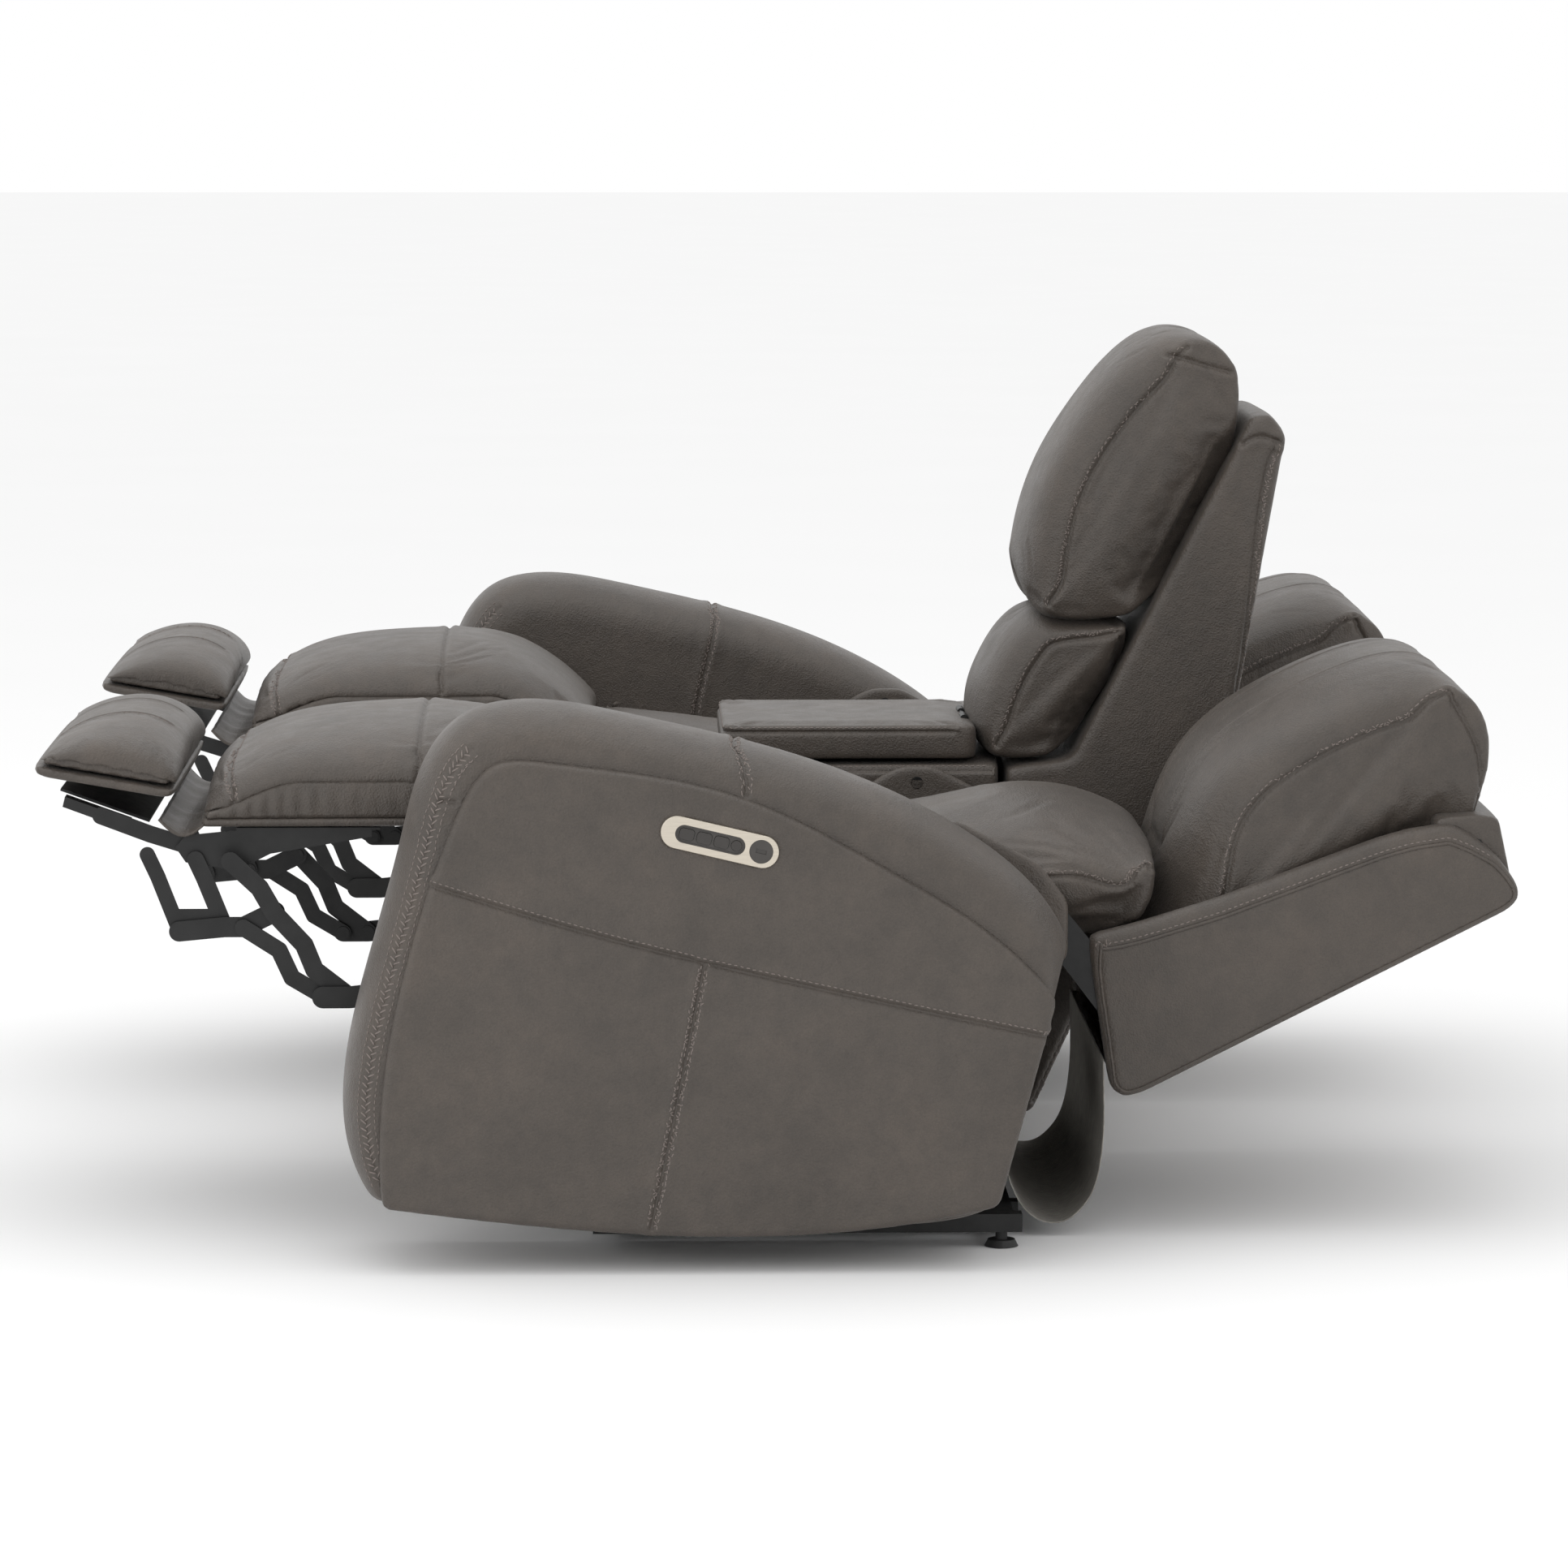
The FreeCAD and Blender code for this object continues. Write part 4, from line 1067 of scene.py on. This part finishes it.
def flap():
    """Padded flap: crowned pad over a wrapped board, with a sunk lens-shaped gusset at each end."""
    shape = outline("left_flap_pad", SEAT_LEFT)
    front, rear = shape[np.argmin(shape[:, 0])], shape[np.argmax(shape[:, 0] - shape[:, 1] * 0.6)]
    direction = (rear - front) / np.linalg.norm(rear - front)
    upward = np.array([-direction[1], direction[0]])
    board_thick, lens_high = 0.018, 0.020

    def chord(t, lift):
        return front + (rear - front) * t + upward * lift

    loop = soft_loop(shape, 0.006)
    t_of = np.clip((loop - front) @ direction / np.linalg.norm(rear - front), 0.02, 0.98)
    lens_top = board_thick + lens_high * np.sin(math.pi * t_of) ** 0.7
    lift_of = (loop - front) @ upward
    rim_lift = np.minimum(lens_top, np.maximum(lift_of, lens_top))
    rim = front + np.outer(t_of * np.linalg.norm(rear - front), direction) + np.outer(rim_lift, upward)
    crown_loop = loop.copy()
    low = lift_of < board_thick + 0.002
    crown_loop[low] += upward * (board_thick + 0.002 - lift_of[low])[:, None]
    crown = slab("left_flap_leather", crown_loop, SEAT_LEFT, SEAT_RIGHT, rim, 2.8, stations=21)
    voxel(crown)
    lens_path = np.array([chord(t, board_thick + lens_high * math.sin(math.pi * t) ** 0.7)
                          for t in np.linspace(0.02, 0.98, 60)])
    ends = [np.column_stack([np.full(60, x), lens_path]) for x in (SEAT_LEFT + 0.001, SEAT_RIGHT - 0.001)]
    ys = np.linspace(shape[:, 0].min() + 0.02, shape[:, 0].max() - 0.012, 40)
    tops = envelope([shape], ys)
    lines = [curve([(SEAT_MID + s * CHANNEL, y, z) for y, z in zip(ys[::6], tops[::6])]) for s in (-1, 1)]
    inflate(crown, [spaced(e, 0.003) for e in ends] + lines, 0.005)
    rider = dict(body="left_flap")
    gathers = ((0.12, 1.0), (0.2, 0.8), (0.3, 0.6), (0.62, 0.7), (0.74, 1.0), (0.84, 1.1), (0.93, 0.9))
    for k, (t, size) in enumerate(gathers):
        y, z = chord(t, board_thick + lens_high)
        crease(crown, (SEAT_RIGHT - 0.002, y, z + 0.004),
               (SEAT_RIGHT - 0.05 * size, y + 0.006 * (-1) ** k, z + 0.03), 0.0013, 0.003)
    sew(crown, [(line, "under", None) for line in lines], rider)
    lower_edge = [chord(t, board_thick - 0.002) for t in np.linspace(0.05, 0.95, 20)]
    upper_edge = [chord(t, board_thick + lens_high * 0.98 * math.sin(math.pi * t) ** 0.7 + 0.004)
                  for t in np.linspace(0.95, 0.05, 20)]
    gusset_loop = soft_loop(np.vstack([lower_edge, upper_edge]), 0.004, 0.003)
    gusset = slab("left_flap_gussets", gusset_loop, SEAT_LEFT + 0.006, SEAT_RIGHT - 0.006,
                  drawn_in(gusset_loop, 0.003), 2.6, stations=9)
    voxel(gusset, 0.004, 3)
    fit(gusset, "left_flap", slot="leather")
    board_edge = [chord(0.005, 0.004), chord(0.1, 0.0), chord(0.9, 0.0), chord(0.995, 0.004),
                  chord(1.0, board_thick), chord(0.0, board_thick)]
    board_loop = soft_loop(np.array(board_edge), 0.004, 0.002)
    board = slab("left_flap_board", board_loop, SEAT_LEFT + 0.001, SEAT_RIGHT - 0.001,
                 drawn_in(board_loop, 0.0045), 2.4, stations=11)
    voxel(board, 0.004, 3)
    fit(board, "left_flap", slot="leather")
    fit(crown, "left_flap", covers=["left_flap_pad"], slot="leather", fill=0.75)


def seat():
    """Seat cushion: crowned top with boxing down its sides."""
    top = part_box("left_seat_cushion")[1].z
    side_in = SEAT_LEFT + 0.014
    loop = soft_loop(outline("left_seat_cushion", side_in), 0.008)
    drop = front_pull(loop, 0.072, 0.004, toward=(0.1, 1.0))
    rim = drawn_in(loop, drop)
    cushion = slab("left_seat_leather", drawn_in(loop, 0.004), side_in, SEAT_RIGHT - 0.014, rim, 2.5,
                   stations=19)
    voxel(cushion)
    seams = rim_seams(rim, drop > 0.014, (side_in + 0.001, SEAT_RIGHT - 0.015), 1)
    inflate(cushion, seams, 0.016)
    rear_y = place("left_seat_cushion", along=0.86)
    crease(cushion, (SEAT_MID + 0.1, rear_y, top), (SEAT_MID + 0.19, rear_y - 0.10, top), 0.0018, 0.007, 0.01)
    crease(cushion, (SEAT_MID - 0.15, rear_y - 0.02, top), (SEAT_MID - 0.05, rear_y - 0.09, top),
           0.0014, 0.006, -0.01)
    sew(cushion, [(seams[0], "under", None), (seams[1], "over", None)], ON_BASE)
    fit(cushion, "base", covers=["left_seat_cushion"], slot="leather", fill=0.8)


def seat_boxing():
    """Leather sides of the seat base, over the mechanism plates beside the cushion."""
    profile = np.array([(0.055, 0.31), (0.055, 0.422), (0.148, 0.489), (0.172, 0.4985), (0.212, 0.4985),
                        (0.308, 0.448), (0.343, 0.402), (0.343, 0.335), (0.31, 0.31)])[::-1]
    loop = soft_loop(profile, 0.006, 0.003)
    rim = drawn_in(loop, 0.0035)
    low, high = SEAT_RIGHT + 0.003, SEAT_RIGHT + 0.0185
    for name, ends in (("left_seat_boxing_outer", (low, high)),
                       ("left_seat_boxing_inner", (2 * SEAT_MID - high, 2 * SEAT_MID - low))):
        boxing = slab(name, loop, *ends, rim, 2.6, stations=9)
        voxel(boxing, 0.0035, 4)
        fit(boxing, "base", slot="leather", fill=0.6)


# ---------------------------------------------------------------- reclining back
def back_cushion():
    """Cushion of the reclining back: two long lines on its front, side seams and wrinkles by the lumbar."""
    low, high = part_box("left_back_cushion")
    loop = soft_loop(outline("left_back_cushion", low.x), 0.006)
    pull = front_pull(loop, 0.070, 0.002, toward=(-0.62, 0.78))
    rim = drawn_in(loop, pull)
    cushion = slab("left_back_leather", drawn_in(loop, 0.003), low.x + 0.003, high.x - 0.003, rim, 2.9,
                   stations=21)
    voxel(cushion, rounds=5)
    sides = rim_seams(rim, pull > 0.018, (low.x + 0.004, high.x - 0.004), 1, reach=6)
    face = loop[pull > 0.03]
    face = face[np.argsort(face[:, 0])]
    face = averaged(spaced(face, 0.006), 3, closed=False)
    lines = [np.column_stack([np.full(len(face), SEAT_MID + s * CHANNEL), face]) for s in (-1, 1)]
    lines = [spaced(line) for line in lines]
    inflate(cushion, sides + lines, 0.016)
    side = sides[1]

    def at(f, inset=0.0, x=None):
        p = side[int(f * (len(side) - 1))]
        return (p[0] - inset if x is None else x, p[1], p[2])

    wrinkles = [(0.10, 0.02, 0.20, 0.07, 0.0060, 0.008), (0.16, 0.015, 0.27, 0.055, 0.0048, 0.006),
                (0.06, 0.03, 0.12, 0.09, 0.0045, 0.009), (0.24, 0.01, 0.34, 0.035, 0.0030, 0.005)]
    for start, inset_a, end, inset_b, depth, width in wrinkles:
        a, b = at(start, inset_a), at(end, inset_b)
        crease(cushion, (a[0], a[1], a[2] + 0.02), (b[0], b[1], b[2] + 0.05), depth, width, 0.008)
        mirror = [(2 * SEAT_MID - p[0], p[1], p[2]) for p in (a, b)]
        (x0, y0, z0), (x1, y1, z1) = mirror
        crease(cushion, (x0, y0, z0 + 0.02), (x1, y1, z1 + 0.05), depth, width, -0.008)
    for f, depth in ((0.13, 0.0055), (0.17, 0.0040), (0.22, 0.0028)):
        a = at(f)
        for x in (a[0], 2 * SEAT_MID - a[0]):
            crease(cushion, (x, a[1], a[2] - 0.004), (x, a[1] + 0.012, a[2] - 0.075), depth, 0.006)
    top_y, top_z = place("left_back_cushion", along=0.985, up=0.72)
    caps = [curve([(x, *side[-1][1:]), (x, top_y - 0.012, top_z), (x, top_y - 0.02, top_z - 0.09)])
            for x in (low.x + 0.01, high.x - 0.01)]
    sew(cushion, [(sides[0], "under", None), (sides[1], "over", None)]
        + [(cap, "plain", None) for cap in caps] + [(line, "line", None) for line in lines], ON_BACK)
    fit(cushion, "left_back", covers=["left_back_cushion"], slot="leather", fill=0.85)


def back_shell():
    """Padded wings with a piped side panel, and the upholstered rear panel between them."""
    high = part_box("left_back_shell")[1]
    wing_inner = high.x - 0.032
    loop = soft_loop(outline("left_back_shell", high.x), 0.007)
    facing = smoothstep(-(inward(loop) @ np.array([-0.4, 0.917])), 0.1, 0.7)
    depth = averaged(0.0045 + 0.018 * facing, 6)
    rim = drawn_in(loop, depth)
    inner_rim = drawn_in(loop, 0.5 * depth)
    for name, mirror in (("left_back_wing_outer", False), ("left_back_wing_inner", True)):
        wing = slab(name, loop, wing_inner, high.x, rim, 2.3, stations=15, low_rim=inner_rim)
        voxel(wing, 0.005, 5)
        ring = np.vstack([rim, rim[:1]])
        seam = np.column_stack([np.full(len(ring), high.x), ring])
        boxing = ring - np.vstack([inward(rim), inward(rim)[:1]]) * 0.006
        boxing_keep = np.r_[facing, facing[:1]] > 0.25
        stitched = np.column_stack([np.full(boxing_keep.sum(), high.x - 0.003), boxing[boxing_keep]])
        stitched = stitched[np.argsort(stitched[:, 1])]
        if mirror:
            co = points_of(wing)
            co[:, 0] = 2 * SEAT_MID - co[:, 0]
            move_points(wing, co)
            wing.data.flip_normals()
            seam[:, 0] = 2 * SEAT_MID - seam[:, 0]
            stitched[:, 0] = 2 * SEAT_MID - stitched[:, 0]
        refine(wing, [spaced(seam, 0.003)], 0.008)
        path, normals = on_surface(wing, spaced(seam, 0.004))
        press(wing, path, 0.0012, 0.003)
        welt = piping(name + "_piping", path, normals, 0.0021, LEATHER)
        fit(welt, "left_back", slot="leather")
        thread = Thread(wing)
        thread.row(spaced(stitched))
        fit(thread.made(), **ON_BACK)
        fit(wing, "left_back", covers=["left_back_shell"], slot="leather", fill=0.85)
    rear_panel()


def rear_panel():
    """Upholstered rear panel between the wings, and the boxing between their top ends."""
    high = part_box("left_back_shell")[1]
    width_low, width_high = 2 * SEAT_MID - high.x + 0.026, high.x - 0.026
    line = curve([place("left_back_shell", along=a, up=u) for a, u in
                  ((0.055, 0.075), (0.085, 0.012), (0.14, 0.018), (0.50, 0.35), (0.93, 0.672), (0.97, 0.705),
                   (0.975, 0.755))], 0.006)
    thickness = 0.010
    normals = np.gradient(line, axis=0)
    normals /= np.linalg.norm(normals, axis=1)[:, None]
    up = np.column_stack([-normals[:, 1], normals[:, 0]])
    loop = soft_loop(np.vstack([line, (line + up * thickness)[::-1]]), 0.003, 0.004)
    panel = slab("left_back_rear_panel", loop, width_low, width_high, drawn_in(loop, 0.002), 2.6, stations=13)
    voxel(panel, 0.0055, 6)
    t = np.linspace(0.1, 0.9, 60)
    points = np.array([line[int(f * (len(line) - 1))] for f in t])
    middle_seam = spaced(np.column_stack([np.full(60, SEAT_MID), points]))
    sew(panel, [(middle_seam, "double", None)], ON_BACK)
    fit(panel, "left_back", covers=["left_back_shell"], slot="leather")

    ends = np.array([place("left_back_shell", along=a, up=u) for a, u in
                     ((0.80, 0.80), (0.93, 0.70), (0.985, 0.72), (0.985, 0.80), (0.955, 1.02), (0.90, 1.035),
                      (0.80, 1.02))])
    top_loop = soft_loop(ends, 0.005, 0.003)
    boxing = slab("left_back_top_boxing", top_loop, width_low - 0.010, width_high + 0.010,
                  drawn_in(top_loop, 0.003), 2.6, stations=9)
    voxel(boxing, 0.0045, 4)
    fit(boxing, "left_back", covers=["left_back_shell"], slot="leather", fill=0.7)


# ---------------------------------------------------------------- skirts and lining
def skirt():
    """Slack vinyl skirt behind each seat: dark face outwards, pale backing inwards."""
    low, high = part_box("rear_skirts")
    x0 = SEAT_LEFT - 0.006
    x1 = high.x
    line = curve([(low.y + 0.002, 0.084), (low.y + 0.011, 0.058), (0.296, 0.032), (0.322, 0.0175),
                  (0.351, 0.024), (0.377, 0.058), (0.3875, 0.12), (0.3855, high.z)], 0.006)
    xs = np.linspace(x0, x1, 120)
    rings = []
    for k, (y, z) in enumerate(line):
        f = k / (len(line) - 1)
        ripple = 0.0022 * np.sin(xs * 16 + 1.5 * np.sin(xs * 7)) * math.sin(math.pi * f)
        rings.append(np.column_stack([xs, y + ripple, np.maximum(z + 0.3 * ripple, 0.004)]))
    for side in ("left", "right"):
        sign = 1 if side == "left" else -1
        mirrored_rings = [ring * (sign, 1, 1) for ring in rings]
        cloth = loft(f"{side}_rear_skirt", mirrored_rings, MATERIALS["backing"], closed=False, caps=False)
        if sign < 0:
            cloth.data.flip_normals()
        cloth.data.materials.append(MATERIALS["skirt"])
        solid = cloth.modifiers.new("thickness", "SOLIDIFY")
        solid.thickness = 0.0012
        solid.material_offset = 1
        settle_modifiers(cloth)
        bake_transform(cloth)
        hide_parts("rear_skirts")


# ---------------------------------------------------------------- floor, light and camera
def studio():
    world = bpy.data.worlds.new("studio")
    world.use_nodes = True
    world.node_tree.nodes["Background"].inputs["Color"].default_value = (1, 1, 1, 1)
    world.node_tree.nodes["Background"].inputs["Strength"].default_value = 1.0
    bpy.context.scene.world = world
    floor_material, tree, shader = new_material("pale_floor", (0.93, 0.93, 0.93), 0.9, specular=0.0)
    floor_shades = [(0.0, (0.925, 0.925, 0.925)), (1.0, (0.94, 0.94, 0.94))]
    tree.links.new(ramp(tree, noise(tree, 1.5, 1.0), floor_shades), shader.inputs["Base Color"])
    half = 60.0
    corners = [(-half, -half, 0), (half, -half, 0), (half, half, 0), (-half, half, 0)]
    floor = mesh_object("floor", [(x, y, -0.0005) for x, y, _ in corners], [(0, 1, 2, 3)], floor_material)
    for name, position, size, energy in (("overhead", (0.6, -0.6, 4.2), 4.5, 50),
                                         ("front_fill", (5.0, -3.5, 2.2), 3.0, 40)):
        light = bpy.data.lights.new(name, "AREA")
        light.size = size
        light.energy = energy
        lamp = bpy.data.objects.new(name, light)
        lamp.location = position
        lamp.rotation_euler = (Vector((0, 0, 0.4)) - Vector(position)).to_track_quat("-Z", "Y").to_euler()
        bpy.context.scene.collection.objects.link(lamp)
    data = bpy.data.cameras.new("camera")
    data.lens = 143.745
    data.sensor_width = 36.0
    data.clip_end = 60
    camera = bpy.data.objects.new("camera", data)
    camera.location = (8.0906, -0.1846, 1.4087)
    aim = Vector((0, 0.0267, 0.4524)) - Vector(camera.location)
    camera.rotation_euler = aim.to_track_quat("-Z", "Y").to_euler()
    bpy.context.scene.collection.objects.link(camera)
    bpy.context.scene.camera = camera
    bpy.context.scene.view_settings.view_transform = "Standard"


dress_frame()
arm()
console()
console_lid()
console_back()
chaise()
boards()
flap()
seat()
seat_boxing()
back_cushion()
back_shell()
skirt()
studio()
